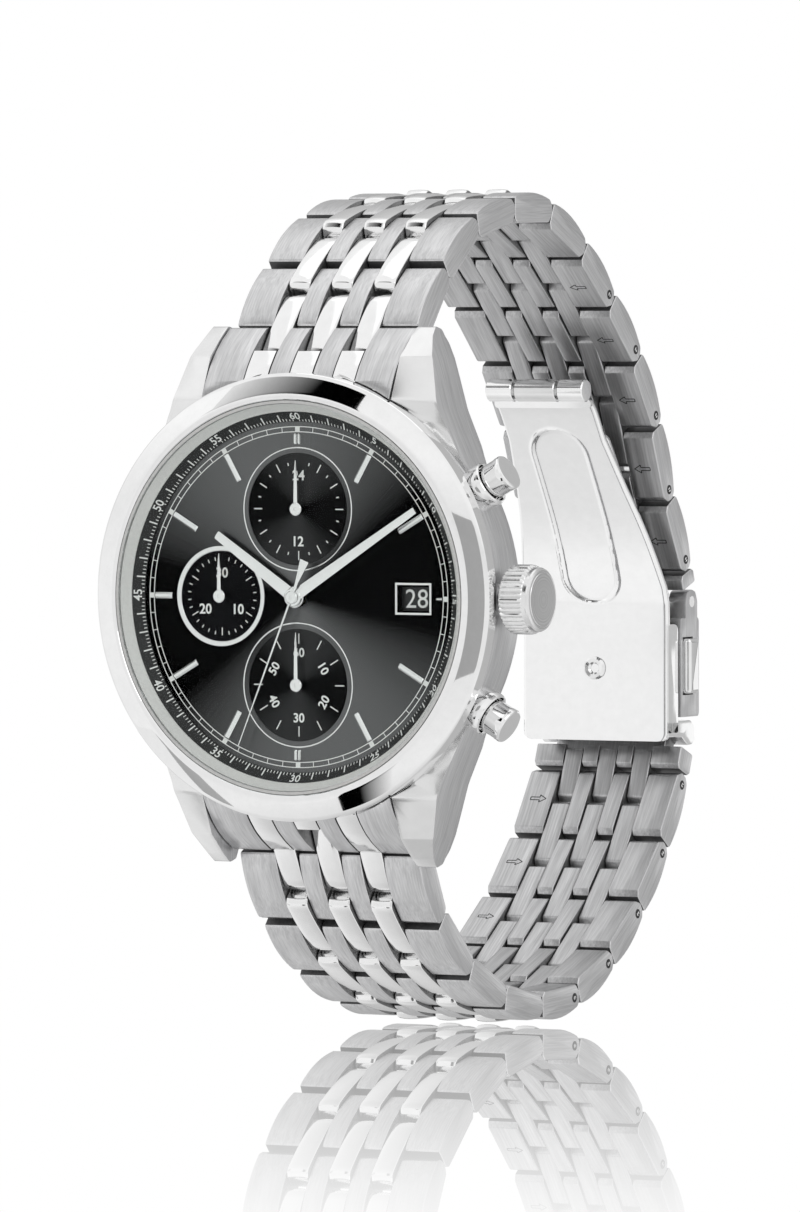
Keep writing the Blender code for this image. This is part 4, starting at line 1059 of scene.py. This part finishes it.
def end_link(name, pin, sign, slope):
    y0, z0 = pin
    s = sign
    a = math.radians(slope * s)
    d, n = (math.cos(a), math.sin(a)), (-math.sin(a), math.cos(a))

    def local(u, v):
        return (y0 + u * d[0] + v * n[0], s * z0 + u * d[1] + v * n[1])

    front, end = (-0.7, 18.3), local(0.62, 1.74)
    crown = []
    for f, bulge in ((0.2, 0.42), (0.4, 0.66), (0.6, 0.68), (0.8, 0.44)):
        crown.append((front[0] + f * (end[0] - front[0]) - bulge * 0.7,
                      front[1] + f * (end[1] - front[1]) + bulge * 0.7))
    pts = ([(-0.6, 17.0), front] + crown + [end, local(0.98, 1.40), local(FAR, 0.8), local(FAR, -0.3),
                                            local(0.75, -1.0), local(0.1, -T_IN), (6.2, 20.4), (6.0, 17.0)])
    radii = [0, 0.3, 6, 6, 6, 6, 0.5, 0.3, 0.5, 0.5, 0.6, 1, 1, 0]
    outline = rounded([(y, s * z) for y, z in pts], radii, 3)
    w = WIDTH_LUG / 2 + 0.05
    m = link_frame(pin, slope, s)
    centres, half = rows(WIDTH_LUG)

    def trims():
        return [temp(box_mesh((-15, CASE_FRONT_Y - 0.05, -19.35), (15, 20, 19.35), 0.0), Matrix.Translation(at(0, 0, 0))),
                temp(cyl(BEZEL_R + 0.10, -CASE_FRONT_Y - 0.05, 6), FACE)]

    g = half + 0.08
    edges = [-w, centres[0] - g, centres[0] + g, centres[1] - g, centres[1] + g, centres[2] - g, centres[2] + g, w]
    pieces = []
    for x0, x1 in zip(edges[::2], edges[1::2]):
        ob = temp(bar(outline, x0, x1, 0.0), SIDE)
        pieces.append(bevelled(boolean(ob, trims(), "DIFFERENCE"), 0.10, 2))
    bm = bmesh.new()
    for piece in pieces:
        bm.from_mesh(piece)
    mesh = pieces[0]
    bm.to_mesh(mesh)
    bm.free()
    bm = bmesh.new()
    for c in centres:
        ob = temp(bar(outline, c - half + 0.02, c + half - 0.02, 0.0), SIDE)
        stop = temp(box_mesh((-SLOT_BACK + 0.05, -6, c - 2), (6, 6, c + 2), 0.0), m)
        bm.from_mesh(bevelled(boolean(ob, trims() + [stop], "DIFFERENCE"), 0.14, 2))
    short = bpy.data.meshes.new("short")
    bm.to_mesh(short)
    bm.free()
    pins = lathe([(0, -w + 0.3), (0.5, -w + 0.3), (0.5, w - 0.3), (0, w - 0.3)], 12)
    # painted shade: the side faces inside the end link's gaps take the darker steel
    def tag(n, c, t):
        return 1 if abs(n.x) > 0.85 and abs(c.x) < (w - 0.3) * MM else 0

    place(name + "_brushed", mesh, [STEEL_END, STEEL_SIDE_SHADE], "watch_head", nodes=[name], tag_fn=tag)
    place(name + "_polished_rows", short, [POLISH_LINK, STEEL_SIDE_SHADE], "watch_head", tag_fn=tag)
    make(name + "_pin", [pins], [STEEL_TURNED], "watch_head", m)


end_link("end_link_12", PIN_12, 1, SLOPE_12[0])
end_link("end_link_6", PIN_6, -1, SLOPE_6[0])


# ------------------------------------------------------------------- clasp ----
def half_frame(pin, target, sign):
    dy, dz = target[0] - pin[0], target[1] - pin[1]
    return link_frame(pin, math.degrees(math.atan2(dz, dy)), sign), math.hypot(dy, dz)


def half_body(width, length, sign_bore):
    cols = length - 1.6
    o = rounded([(NEAR, -0.8), (NEAR + 0.4, -T_IN + 0.1), (cols, -T_IN + 0.1), (cols, T_OUT - 0.15),
                 (NEAR + 0.3, T_OUT - 0.15), (NEAR, T_OUT - 0.5)], [0.15, 0.2, 0.2, 0.25, 0.1, 0.06], 3)
    return [(bar(o, a, b, 0.12, 0.0, 0, 3), 0) for a, b in columns(width)]


m12, len12 = half_frame(last_12, COVER_PIN, 1)
m6, len6 = half_frame(last_6, EAR_PIN, -1)
for name, m, length, w_prev, tongue_half, sign in (("half_link_12", m12, len12, width_12, 2.3, 1),
                                                   ("half_link_6", m6, len6, width_6, 6.0, -1)):
    parts = half_body(WIDTH_CLASP, length, True)
    o = rounded([(length - 2.6, -0.95), (length + 0.5, -0.95), (length + 0.95, -0.4), (length + 0.95, 0.4),
                 (length + 0.5, 0.95), (length - 2.6, 0.95)], [0, 0.4, 0.4, 0.4, 0.4, 0], 3)
    parts.append((bar(o, -tongue_half, tongue_half, 0.1), 0))
    # painted shade: a near-black block inside the half link for the shade seen through its gaps
    parts.append((box_mesh((NEAR + 0.5, -0.7, -7.4), (length - 1.7, 0.9, 7.4), 0.05), 3))
    if name == "half_link_12":
        parts.append((moved(lathe([(0, -7.8), (0.45, -7.8), (0.5, -7.7), (0.5, 7.7), (0.45, 7.8), (0, 7.8)], 16),
                            Matrix.Translation((length, 0, 0))), 2))
    make(name + "_brushed", parts, LINK_MATS, name, m, [name], tag_fn=link_tags(WIDTH_CLASP))
    make(name + "_polished_rows", [(p, 2) for p in mids(w_prev, WIDTH_CLASP, -FINGER_BACK, length - 1.62)], LINK_MATS, name,
         m, tag_fn=link_tags(WIDTH_CLASP))

# cover
c_lo, c_hi = COVER_Z
y_in, y_out = COVER_Y
cw = WIDTH_CLASP / 2
cover = temp(bar(rounded([(y_in, c_lo), (y_out - 0.15, c_lo), (y_out, c_lo + 0.4), (y_out, c_hi - 0.3), (y_out - 0.2, c_hi),
                          (y_in, c_hi)], [0, 0.5, 0.4, 0.4, 0.2, 0], 3), -cw, cw, 0.0, steps=1), SIDE)
ears = []
for sx in (1, -1):
    e = rounded([(COVER_PIN[0] - 1.25, c_hi - 0.8), (COVER_PIN[0] + 1.25, c_hi - 0.8), (COVER_PIN[0] + 1.25, COVER_PIN[1]),
                 (COVER_PIN[0] + 0.85, COVER_PIN[1] + 0.95), (COVER_PIN[0], COVER_PIN[1] + 1.2),
                 (COVER_PIN[0] - 0.85, COVER_PIN[1] + 0.95), (COVER_PIN[0] - 1.25, COVER_PIN[1])],
                [0, 0, 0.5, 0.5, 0.5, 0.5, 0.5], 2)
    ears.append(temp(bar(e, min(sx * 6.1, sx * cw), max(sx * 6.1, sx * cw), 0.0, steps=1), SIDE))
boolean(cover, [
    temp(box_mesh((-cw + 1.1, y_in - 1, c_lo + 0.7), (cw - 1.1, y_out - 1.0, c_hi - 0.7), 0.0, 1), Matrix.Translation(at(0, 0, 0))),
    temp(box_mesh((-6.0, y_in - 1, c_hi - 1.5), (6.0, y_out - 1.0, c_hi + 1), 0.0, 1), Matrix.Translation(at(0, 0, 0)))],
    "DIFFERENCE")
boolean(cover, ears, "UNION")
boolean(cover, [temp(box_mesh((-9, y_in + 0.4, -11.25), (9, y_in + 2.6, -5.55), 0.0, 1), Matrix.Translation(at(0, 0, 0)))],
        "DIFFERENCE")
place("clasp_cover_shell", bevelled(cover, 0.16, 2),
      [STEEL_FLANK, POLISH_SOFT], "clasp_cover", nodes=["clasp_cover"],
      tag_fn=lambda n, c, t: 1 if n.y > 0.8 else 0)
ACROSS = axes(Y, Z, X, at(0, 0, 0))
make("clasp_cover_pins", [
    moved(lathe([(0, -cw + 0.3), (0.5, -cw + 0.3), (0.5, cw - 0.3), (0, cw - 0.3)], 20), Matrix.Translation((65.0, -12.3, 0)))]
    + [moved(lathe([(0, z0), (0.55, z0), (0.55, z1), (0, z1)], 24), Matrix.Translation((COVER_PIN[0], COVER_PIN[1], 0)))
       for z0, z1 in ((cw - 0.5, cw + 0.05), (-cw - 0.05, -cw + 0.5))],
    [POLISH_SOFT], "clasp_cover", ACROSS)
for tag, sx in (("right", 1), ("left", -1)):
    head = box_mesh((y_in + 0.5, -11.1, min(sx * 5.6, sx * 8.8)), (y_in + 2.5, -5.7, max(sx * 5.6, sx * 8.8)), 0.35, 4)
    flange = box_mesh((y_in + 0.3, -11.5, min(sx * 5.4, sx * 6.3)), (y_in + 2.6, -5.3, max(sx * 5.4, sx * 6.3)), 0.1)
    make("clasp_button_head_" + tag, [head, flange], [POLISH], "clasp_button_" + tag, ACROSS,
         ["clasp_button_" + tag], angle=40)


def smooth_path(points, per=10):
    """A path through the points, rounded at its corners by Catmull-Rom."""
    out = []
    n = len(points)
    for i in range(n - 1):
        p0, p1, p2, p3 = points[max(i - 1, 0)], points[i], points[i + 1], points[min(i + 2, n - 1)]
        for k in range(per):
            t = k / per
            q = []
            for a, b, c, d in zip(p0, p1, p2, p3):
                q.append(0.5 * (2 * b + (c - a) * t + (2 * a - 5 * b + 4 * c - d) * t * t + (3 * b - a - 3 * c + d) * t ** 3))
            out.append(tuple(q))
    out.append(points[-1])
    return out


def even(path, step):
    """The path at even steps of length."""
    out, need = [path[0]], step
    acc = 0.0
    for a, b in zip(path, path[1:]):
        ln = math.hypot(b[0] - a[0], b[1] - a[1])
        while acc + ln >= need:
            t = (need - acc) / ln
            out.append((a[0] + (b[0] - a[0]) * t, a[1] + (b[1] - a[1]) * t))
            need += step
        acc += ln
    if math.hypot(out[-1][0] - path[-1][0], out[-1][1] - path[-1][1]) > step * 0.3:
        out.append(path[-1])
    else:
        out[-1] = path[-1]
    return out


def half_width(z, table):
    table = sorted(table, key=lambda t: t[1])
    if z <= table[0][1]:
        return table[0][0]
    for (h0, z0), (h1, z1) in zip(table, table[1:]):
        if z <= z1:
            return h0 + (h1 - h0) * (z - z0) / max(z1 - z0, 1e-9)
    return table[-1][0]


def sheet_metal(path, widths, thick, step, across, relief=None, edge=0.2, corner=0.0, notch=None):
    """A bent plate with rounded long edges. relief(x, z) lowers the inner face."""
    pts = even(path, step)
    xs = []
    for k in range(5):
        xs.append(-1 + (1 - math.cos(math.pi / 2 * k / 4)) * 0.0)
    verts, faces = [], []
    n_top = across + 1
    ring = None
    total = len(pts)
    for i, (y, z) in enumerate(pts):
        a, b = pts[max(i - 1, 0)], pts[min(i + 1, total - 1)]
        t = Vector((b[0] - a[0], b[1] - a[1])).normalized()
        nrm = Vector((-t.y, t.x))            # to the left of the path
        h = half_width(z, widths)
        if corner:
            for d in (i * step, (total - 1 - i) * step):
                if d < corner and (d == (total - 1 - i) * step):
                    h -= corner - math.sqrt(max(0.0, corner ** 2 - (corner - d) ** 2))
        row = []
        half = thick / 2
        # outer face, left to right, then edge, inner face, edge
        for k in range(n_top):
            x = (-1 + 2 * k / across) * (h - edge)
            row.append((x, half, False))
        for k in range(1, 6):
            a_ = math.pi * k / 6
            row.append((h - edge + edge * math.sin(a_), half * math.cos(a_), False))
        for k in range(n_top):
            x = (1 - 2 * k / across) * (h - edge)
            row.append((x, -half, True))
        for k in range(1, 6):
            a_ = math.pi * k / 6
            row.append((-(h - edge + edge * math.sin(a_)), -half * math.cos(a_), False))
        ring = len(row)
        for x, off, inner in row:
            if inner and relief is not None:
                off += relief(x, z)
            verts.append((y + nrm.x * off, z + nrm.y * off, x))
    for i in range(total - 1):
        for k in range(ring):
            j = (k + 1) % ring
            faces.append((i * ring + k, (i + 1) * ring + k, (i + 1) * ring + j, i * ring + j))
    faces.append(tuple(range(ring)))
    faces.append(tuple((total - 1) * ring + k for k in range(ring - 1, -1, -1)))
    return verts, faces


hy, hz = TOP_HINGE
PLATE_PATH = smooth_path([(hy + 0.9, hz - 1.3), (50.2, 16.7), (55.2, 9.0), (58.0, 4.0), (59.9, -1.0), (60.3, -3.2), (60.3, -9.0),
                          (60.3, -15.7)], 12)
PLATE_W = [(8.0, -20.0), (8.0, -0.6), (7.0, 4.5), (6.1, 9.0), (5.3, 14.0), (5.3, 22.0)]


def oval(x, z):
    """Depth of a pressed racetrack panel: a shallow step with a rounded rim."""
    z_lo, z_hi, r = 0.5, 12.6, 2.85
    zc = min(max(z, z_lo), z_hi)
    d = math.hypot(x, (z - zc) * 1.15) - r
    step = 0.18 / (1 + math.exp(max(-40, min(40, d / 0.08))))
    rim = -0.10 * math.exp(-((d - 0.12) / 0.2) ** 2)
    return step + rim


# the path runs downwards, so the left of it is the outer side (+y); the inner side is the one the wrist meets
plate_parts = [(sheet_metal(PLATE_PATH, PLATE_W, 0.85, 0.16, 112, oval, 0.3, 0.9), 0)]
plate_parts += [(moved(lathe([(0, z0), (1.0, z0), (1.1, z0 + 0.1), (1.1, z1 - 0.1), (1.0, z1), (0, z1)], 32),
                       Matrix.Translation((hy, hz, 0))), 0) for z0, z1 in ((2.5, 5.3), (-5.3, -2.5))]
plate_parts.append((moved(lathe([(0, -5.25), (0.45, -5.25), (0.5, -5.2), (0.5, 5.2), (0.45, 5.25), (0, 5.25)], 20),
                          Matrix.Translation((hy, hz, 0))), 1))
for sx in (1, -1):
    o = rounded([(60.0, -15.0), (62.3, -15.0), (62.3, -4.2), (60.0, -4.2)], [0, 0.3, 0.8, 0], 3)
    plate_parts.append((bar(o, min(sx * 7.2, sx * cw), max(sx * 7.2, sx * cw), 0.12), 0))
    o = rounded([(60.0, -13.8), (EAR_PIN[0] + 0.3, -13.75), (EAR_PIN[0] + 1.1, -14.4), (EAR_PIN[0] + 1.1, -15.7),
                 (EAR_PIN[0] + 0.6, -16.15), (EAR_PIN[0] - 0.3, -16.2), (EAR_PIN[0] - 1.0, -15.8), (EAR_PIN[0] - 1.7, -15.3),
                 (60.0, -15.3)], [0, 0.6, 0.6, 0.5, 0.4, 0.4, 0.5, 0.8, 0], 3)
    plate_parts.append((bar(o, min(sx * 6.35, sx * cw), max(sx * 6.35, sx * cw), 0.12), 0))
plate_parts.append((moved(lathe([(0, -7.7), (0.45, -7.7), (0.5, -7.6), (0.5, 7.6), (0.45, 7.7), (0, 7.7)], 20),
                          Matrix.Translation((EAR_PIN[0], EAR_PIN[1], 0))), 1))
make("clasp_plate_polished", plate_parts, [STEEL_PLATE, POLISH_SOFT], "clasp_plate", ACROSS,
     ["clasp_plate"], angle=38)
EYELET = axes(X, -Z, Y, at(0, 0, -8.6))
make("clasp_plate_post", [lathe([(0, 60.2), (0.7, 60.2), (0.7, 63.1), (0.85, 63.3), (1.1, 63.5), (1.1, 64.1), (1.0, 64.2),
                                 (0, 64.2)], 36),
                          lathe([(0.45, 59.78), (0.62, 59.62), (0.95, 59.56), (1.12, 59.66), (1.15, 59.86), (1.15, 60.2),
                                 (0.45, 60.2)], 48),
                          lathe([(0, 59.9), (0.46, 59.9), (0.46, 60.3), (0, 60.3)], 32)],
     [POLISH, DARK_GAP], "clasp_plate", EYELET, angle=30)

BLADE_PATH = smooth_path([(hy + 1.0, hz - 0.5), (50.6, 17.9), (53.6, 14.8), (57.0, 8.7), (60.2, 2.4), (61.6, -0.9), (62.9, -2.2),
                          (64.2, -2.5)], 10)
blade_parts = [(sheet_metal(BLADE_PATH, [(5.2, -6.0), (5.2, 8.0), (4.6, 14.0), (2.2, 16.6), (2.2, 22.0)], 0.8, 0.3, 24,
                            None, 0.25), 0)]
blade_parts.append((moved(lathe([(0, -2.2), (1.0, -2.2), (1.1, -2.1), (1.1, 2.1), (1.0, 2.2), (0, 2.2)], 32),
                          Matrix.Translation((hy, hz, 0))), 0))
blade_parts += [(moved(lathe([(0, z0), (1.0, z0), (1.1, z0 + 0.1), (1.1, z1 - 0.1), (1.0, z1), (0, z1)], 32),
                       Matrix.Translation((COVER_PIN[0], COVER_PIN[1], 0))), 0) for z0, z1 in ((2.65, 5.2), (-5.2, -2.65))]
make("clasp_blade_polished", blade_parts, [POLISH_SOFT], "clasp_blade", ACROSS, ["clasp_blade"], angle=38)

# ----------------------------------------------- CAD pieces that stay shown ----
KEEP = {"movement_plate": BRASS, "movement_holder": HOLDER, "circuit_board": BOARD, "battery": POLISH,
        "case_back_gasket": GASKET, "crown_tube": STEEL_TURNED, "crown_stem": STEEL_TURNED, "setting_lever": STEEL_TURNED,
        "pusher_spring_2": STEEL_TURNED, "pusher_spring_4": STEEL_TURNED, "spring_bar_12": STEEL_TURNED,
        "spring_bar_6": STEEL_TURNED}
for name, ob in NODES.items():
    if name in KEEP:
        ob.data.materials.clear()
        ob.data.materials.append(KEEP[name])

# ------------------------------------------------------------------ studio ----
lo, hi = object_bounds()
FLOOR_Z = lo.z

def emitter_floor():
    """A pale floor whose mirror of the watch fades out in front of it."""
    size = 3.0
    mesh = bpy.data.meshes.new("floor")
    mesh.from_pydata([(-size, -size, 0), (size, -size, 0), (size, size, 0), (-size, size, 0)], [], [(0, 1, 2, 3)])
    ob = bpy.data.objects.new("floor", mesh)
    SCENE.collection.objects.link(ob)
    ob.location = (0, 0, FLOOR_Z - 0.00005)
    mat = bpy.data.materials.new("floor_pale_gloss")
    mat.use_nodes = True
    nt = mat.node_tree
    nt.nodes.clear()
    out = nt.nodes.new("ShaderNodeOutputMaterial")
    em = nt.nodes.new("ShaderNodeEmission")
    em.inputs["Color"].default_value = (1, 1, 1, 1)
    em.inputs["Strength"].default_value = 1.0
    gl = nt.nodes.new("ShaderNodeBsdfAnisotropic")
    gl.inputs["Roughness"].default_value = 0.0
    gl.inputs["Color"].default_value = (1, 1, 1, 1)
    geo = nt.nodes.new("ShaderNodeNewGeometry")
    dot = nt.nodes.new("ShaderNodeVectorMath")
    dot.operation = "DOT_PRODUCT"
    dot.inputs[1].default_value = (math.sin(math.radians(29.18)), -math.cos(math.radians(29.18)), 0)
    nt.links.new(geo.outputs["Position"], dot.inputs[0])
    fade = nt.nodes.new("ShaderNodeMapRange")
    fade.interpolation_type = "SMOOTHSTEP"
    fade.inputs["From Min"].default_value = -0.02
    fade.inputs["From Max"].default_value = 0.26
    fade.inputs["To Min"].default_value = 0.74
    fade.inputs["To Max"].default_value = 0.0
    nt.links.new(dot.outputs["Value"], fade.inputs["Value"])
    front = nt.nodes.new("ShaderNodeMapRange")
    front.interpolation_type = "SMOOTHSTEP"
    front.inputs["From Min"].default_value = -0.19
    front.inputs["From Max"].default_value = -0.09
    nt.links.new(dot.outputs["Value"], front.inputs["Value"])
    across = nt.nodes.new("ShaderNodeVectorMath")
    across.operation = "DOT_PRODUCT"
    across.inputs[1].default_value = (math.cos(math.radians(29.18)), math.sin(math.radians(29.18)), 0)
    nt.links.new(geo.outputs["Position"], across.inputs[0])
    far = nt.nodes.new("ShaderNodeMath")
    far.operation = "ABSOLUTE"
    nt.links.new(across.outputs["Value"], far.inputs[0])
    side = nt.nodes.new("ShaderNodeMapRange")
    side.interpolation_type = "SMOOTHSTEP"
    side.inputs["From Min"].default_value = 0.10
    side.inputs["From Max"].default_value = 0.22
    side.inputs["To Min"].default_value = 1.0
    side.inputs["To Max"].default_value = 0.0
    nt.links.new(far.outputs["Value"], side.inputs["Value"])
    only = nt.nodes.new("ShaderNodeMath")
    only.operation = "MULTIPLY"
    nt.links.new(fade.outputs["Result"], only.inputs[0])
    nt.links.new(front.outputs["Result"], only.inputs[1])
    edges = nt.nodes.new("ShaderNodeMath")
    edges.operation = "MULTIPLY"
    nt.links.new(only.outputs["Value"], edges.inputs[0])
    nt.links.new(side.outputs["Result"], edges.inputs[1])
    mx = nt.nodes.new("ShaderNodeMixShader")
    nt.links.new(edges.outputs["Value"], mx.inputs["Fac"])
    nt.links.new(em.outputs["Emission"], mx.inputs[1])
    nt.links.new(gl.outputs["BSDF"], mx.inputs[2])
    nt.links.new(mx.outputs["Shader"], out.inputs["Surface"])
    mesh.materials.append(mat)
    ob.visible_diffuse = False
    ob.visible_glossy = False
    ob.visible_shadow = False
    return ob


emitter_floor()


def area(name, loc, target, size, size_y, power, colour=(1, 1, 1)):
    light = bpy.data.lights.new(name, "AREA")
    light.shape = "RECTANGLE"
    light.size, light.size_y = size, size_y
    light.energy = power
    light.color = colour
    ob = bpy.data.objects.new(name, light)
    SCENE.collection.objects.link(ob)
    ob.location = loc
    ob.rotation_mode = "QUATERNION"
    ob.rotation_quaternion = (Vector(target) - Vector(loc)).to_track_quat("-Z", "Y")
    return ob


def card(name, loc, target, w, h, left_value, right_value, at_left, at_right):
    """A matt card seen only in reflections, shading from its left edge to its right one."""
    mesh = bpy.data.meshes.new(name)
    mesh.from_pydata([(-w / 2, -h / 2, 0), (w / 2, -h / 2, 0), (w / 2, h / 2, 0), (-w / 2, h / 2, 0)], [], [(0, 1, 2, 3)])
    ob = bpy.data.objects.new(name, mesh)
    SCENE.collection.objects.link(ob)
    ob.location = loc
    ob.rotation_mode = "QUATERNION"
    ob.rotation_quaternion = (Vector(target) - Vector(loc)).to_track_quat("-Z", "Y")
    mat = bpy.data.materials.new(name)
    mat.use_nodes = True
    nt = mat.node_tree
    nt.nodes.clear()
    out = nt.nodes.new("ShaderNodeOutputMaterial")
    em = nt.nodes.new("ShaderNodeEmission")
    co = nt.nodes.new("ShaderNodeTexCoord")
    sep = nt.nodes.new("ShaderNodeSeparateXYZ")
    nt.links.new(co.outputs["Generated"], sep.inputs["Vector"])
    nt.links.new(grey(nt, sep.outputs["X"], (left_value,) * 3, (right_value,) * 3, at_left, at_right), em.inputs["Color"])
    nt.links.new(em.outputs["Emission"], out.inputs["Surface"])
    mesh.materials.append(mat)
    ob.visible_camera = False
    ob.visible_diffuse = False
    ob.visible_shadow = False
    ob.visible_transmission = False
    return ob


world = bpy.data.worlds.new("studio")
SCENE.world = world
world.use_nodes = True
wn = world.node_tree
wn.nodes.clear()
w_out = wn.nodes.new("ShaderNodeOutputWorld")
bg_see = wn.nodes.new("ShaderNodeBackground")
bg_see.inputs["Color"].default_value = (1, 1, 1, 1)
bg_see.inputs["Strength"].default_value = 1.0
bg_lit = wn.nodes.new("ShaderNodeBackground")
tc = wn.nodes.new("ShaderNodeTexCoord")
sp = wn.nodes.new("ShaderNodeSeparateXYZ")
wn.links.new(tc.outputs["Generated"], sp.inputs["Vector"])
up = wn.nodes.new("ShaderNodeValToRGB")
up.color_ramp.elements[0].position = 0.0
up.color_ramp.elements[0].color = (0.62, 0.62, 0.62, 1)
up.color_ramp.elements[1].position = 1.0
up.color_ramp.elements[1].color = (0.95, 0.95, 0.95, 1)
for pos, val in ((0.20, 0.96), (0.35, 0.90), (0.48, 0.92), (0.60, 0.86), (0.73, 1.02)):
    e = up.color_ramp.elements.new(pos)
    e.color = (val, val, val, 1)
half_z = wn.nodes.new("ShaderNodeMapRange")
half_z.inputs["From Min"].default_value = -1
half_z.inputs["From Max"].default_value = 1
wn.links.new(sp.outputs["Z"], half_z.inputs["Value"])
wn.links.new(half_z.outputs["Result"], up.inputs["Fac"])
# the far half of the room is darker
wall = wn.nodes.new("ShaderNodeVectorMath")
wall.operation = "DOT_PRODUCT"
wall.inputs[1].default_value = (0.0, 1.0, 0.0)
wn.links.new(tc.outputs["Generated"], wall.inputs[0])
near_wall = wn.nodes.new("ShaderNodeMapRange")
near_wall.interpolation_type = "SMOOTHSTEP"
near_wall.inputs["From Min"].default_value = 0.30
near_wall.inputs["From Max"].default_value = 0.85
wn.links.new(wall.outputs["Value"], near_wall.inputs["Value"])
blend = wn.nodes.new("ShaderNodeMix")
blend.data_type = "RGBA"
wn.links.new(near_wall.outputs["Result"], blend.inputs["Factor"])
wn.links.new(up.outputs["Color"], [i for i in blend.inputs if i.name == "A" and i.type == "RGBA"][0])
[i for i in blend.inputs if i.name == "B" and i.type == "RGBA"][0].default_value = (0.52, 0.52, 0.52, 1)
wn.links.new([o for o in blend.outputs if o.type == "RGBA"][0], bg_lit.inputs["Color"])
bg_lit.inputs["Strength"].default_value = 1.0
lp = wn.nodes.new("ShaderNodeLightPath")
mixw = wn.nodes.new("ShaderNodeMixShader")
wn.links.new(lp.outputs["Is Camera Ray"], mixw.inputs["Fac"])
wn.links.new(bg_lit.outputs["Background"], mixw.inputs[1])
wn.links.new(bg_see.outputs["Background"], mixw.inputs[2])
wn.links.new(mixw.outputs["Shader"], w_out.inputs["Surface"])

centre = (0.0, 0.02, 0.0)
area("key_left", (-0.66, -0.28, 0.10), centre, 0.5, 0.8, 0.08)
area("fill_right", (0.62, -0.30, 0.35), centre, 0.4, 0.4, 0.3)
area("top_soft", (-0.05, 0.10, 0.65), centre, 0.6, 0.5, 0.2)
card("flag_top", (-0.269, -0.381, 0.337), (0, 0, 0), 0.33, 0.20, 0.85, 0.0, 0.0, 0.66)
card("flag_low", (-0.0915, -0.37, -0.3165), (0, 0, 0), 0.114, 0.16, 0.0, 0.9, 0.40, 1.0)
card("flag_low_left", (-0.37, -0.205, -0.25), (0, 0, 0), 0.045, 0.16, 0.42, 0.45, 0.0, 1.0)
card("flag_front", (0.19, -0.62, -0.01), (0, 0, 0), 0.17, 0.40, 0.40, 0.42, 0.0, 1.0)
card("wall_low", (-0.0975, 0.1746, FLOOR_Z + 0.018), (0.0, 0.0, FLOOR_Z + 0.018), 0.6, 0.05, 1.0, 1.0, 0.0, 1.0)

# ------------------------------------------------------------------ camera ----
# at the studio's own viewing angle: 29.2 degrees to the crown side and 1.7 above
YAW, PITCH_UP, ROLL = math.radians(29.18), math.radians(1.713), math.radians(-0.117)
DIST, FOCAL_PX = 0.940, 10098.0
back = Vector((math.sin(YAW) * math.cos(PITCH_UP), -math.cos(YAW) * math.cos(PITCH_UP), math.sin(PITCH_UP)))
right = Vector((math.cos(YAW), math.sin(YAW), 0))
upv = back.cross(right)
cr, sr = math.cos(ROLL), math.sin(ROLL)
right, upv = right * cr + upv * sr, upv * cr - right * sr
dial_centre = at(0, 0, 0)
eye = dial_centre + back * DIST
aim = (-back * FOCAL_PX + right * (400.0 - 297.78) - upv * (606.0 - 597.14)).normalized()
c_right = aim.cross(upv).normalized()
c_up = c_right.cross(aim)
cam_data = bpy.data.cameras.new("camera")
cam_data.sensor_width = 36.0
cam_data.lens = 36.0 * FOCAL_PX / 1212.0
cam_data.clip_start, cam_data.clip_end = 0.01, 20.0
cam_data.dof.use_dof = False
cam = bpy.data.objects.new("camera", cam_data)
SCENE.collection.objects.link(cam)
cam.matrix_world = axes(c_right, c_up, -aim, eye)
SCENE.camera = cam
SCENE.view_settings.view_transform = "Standard"
SCENE.view_settings.look = "None"
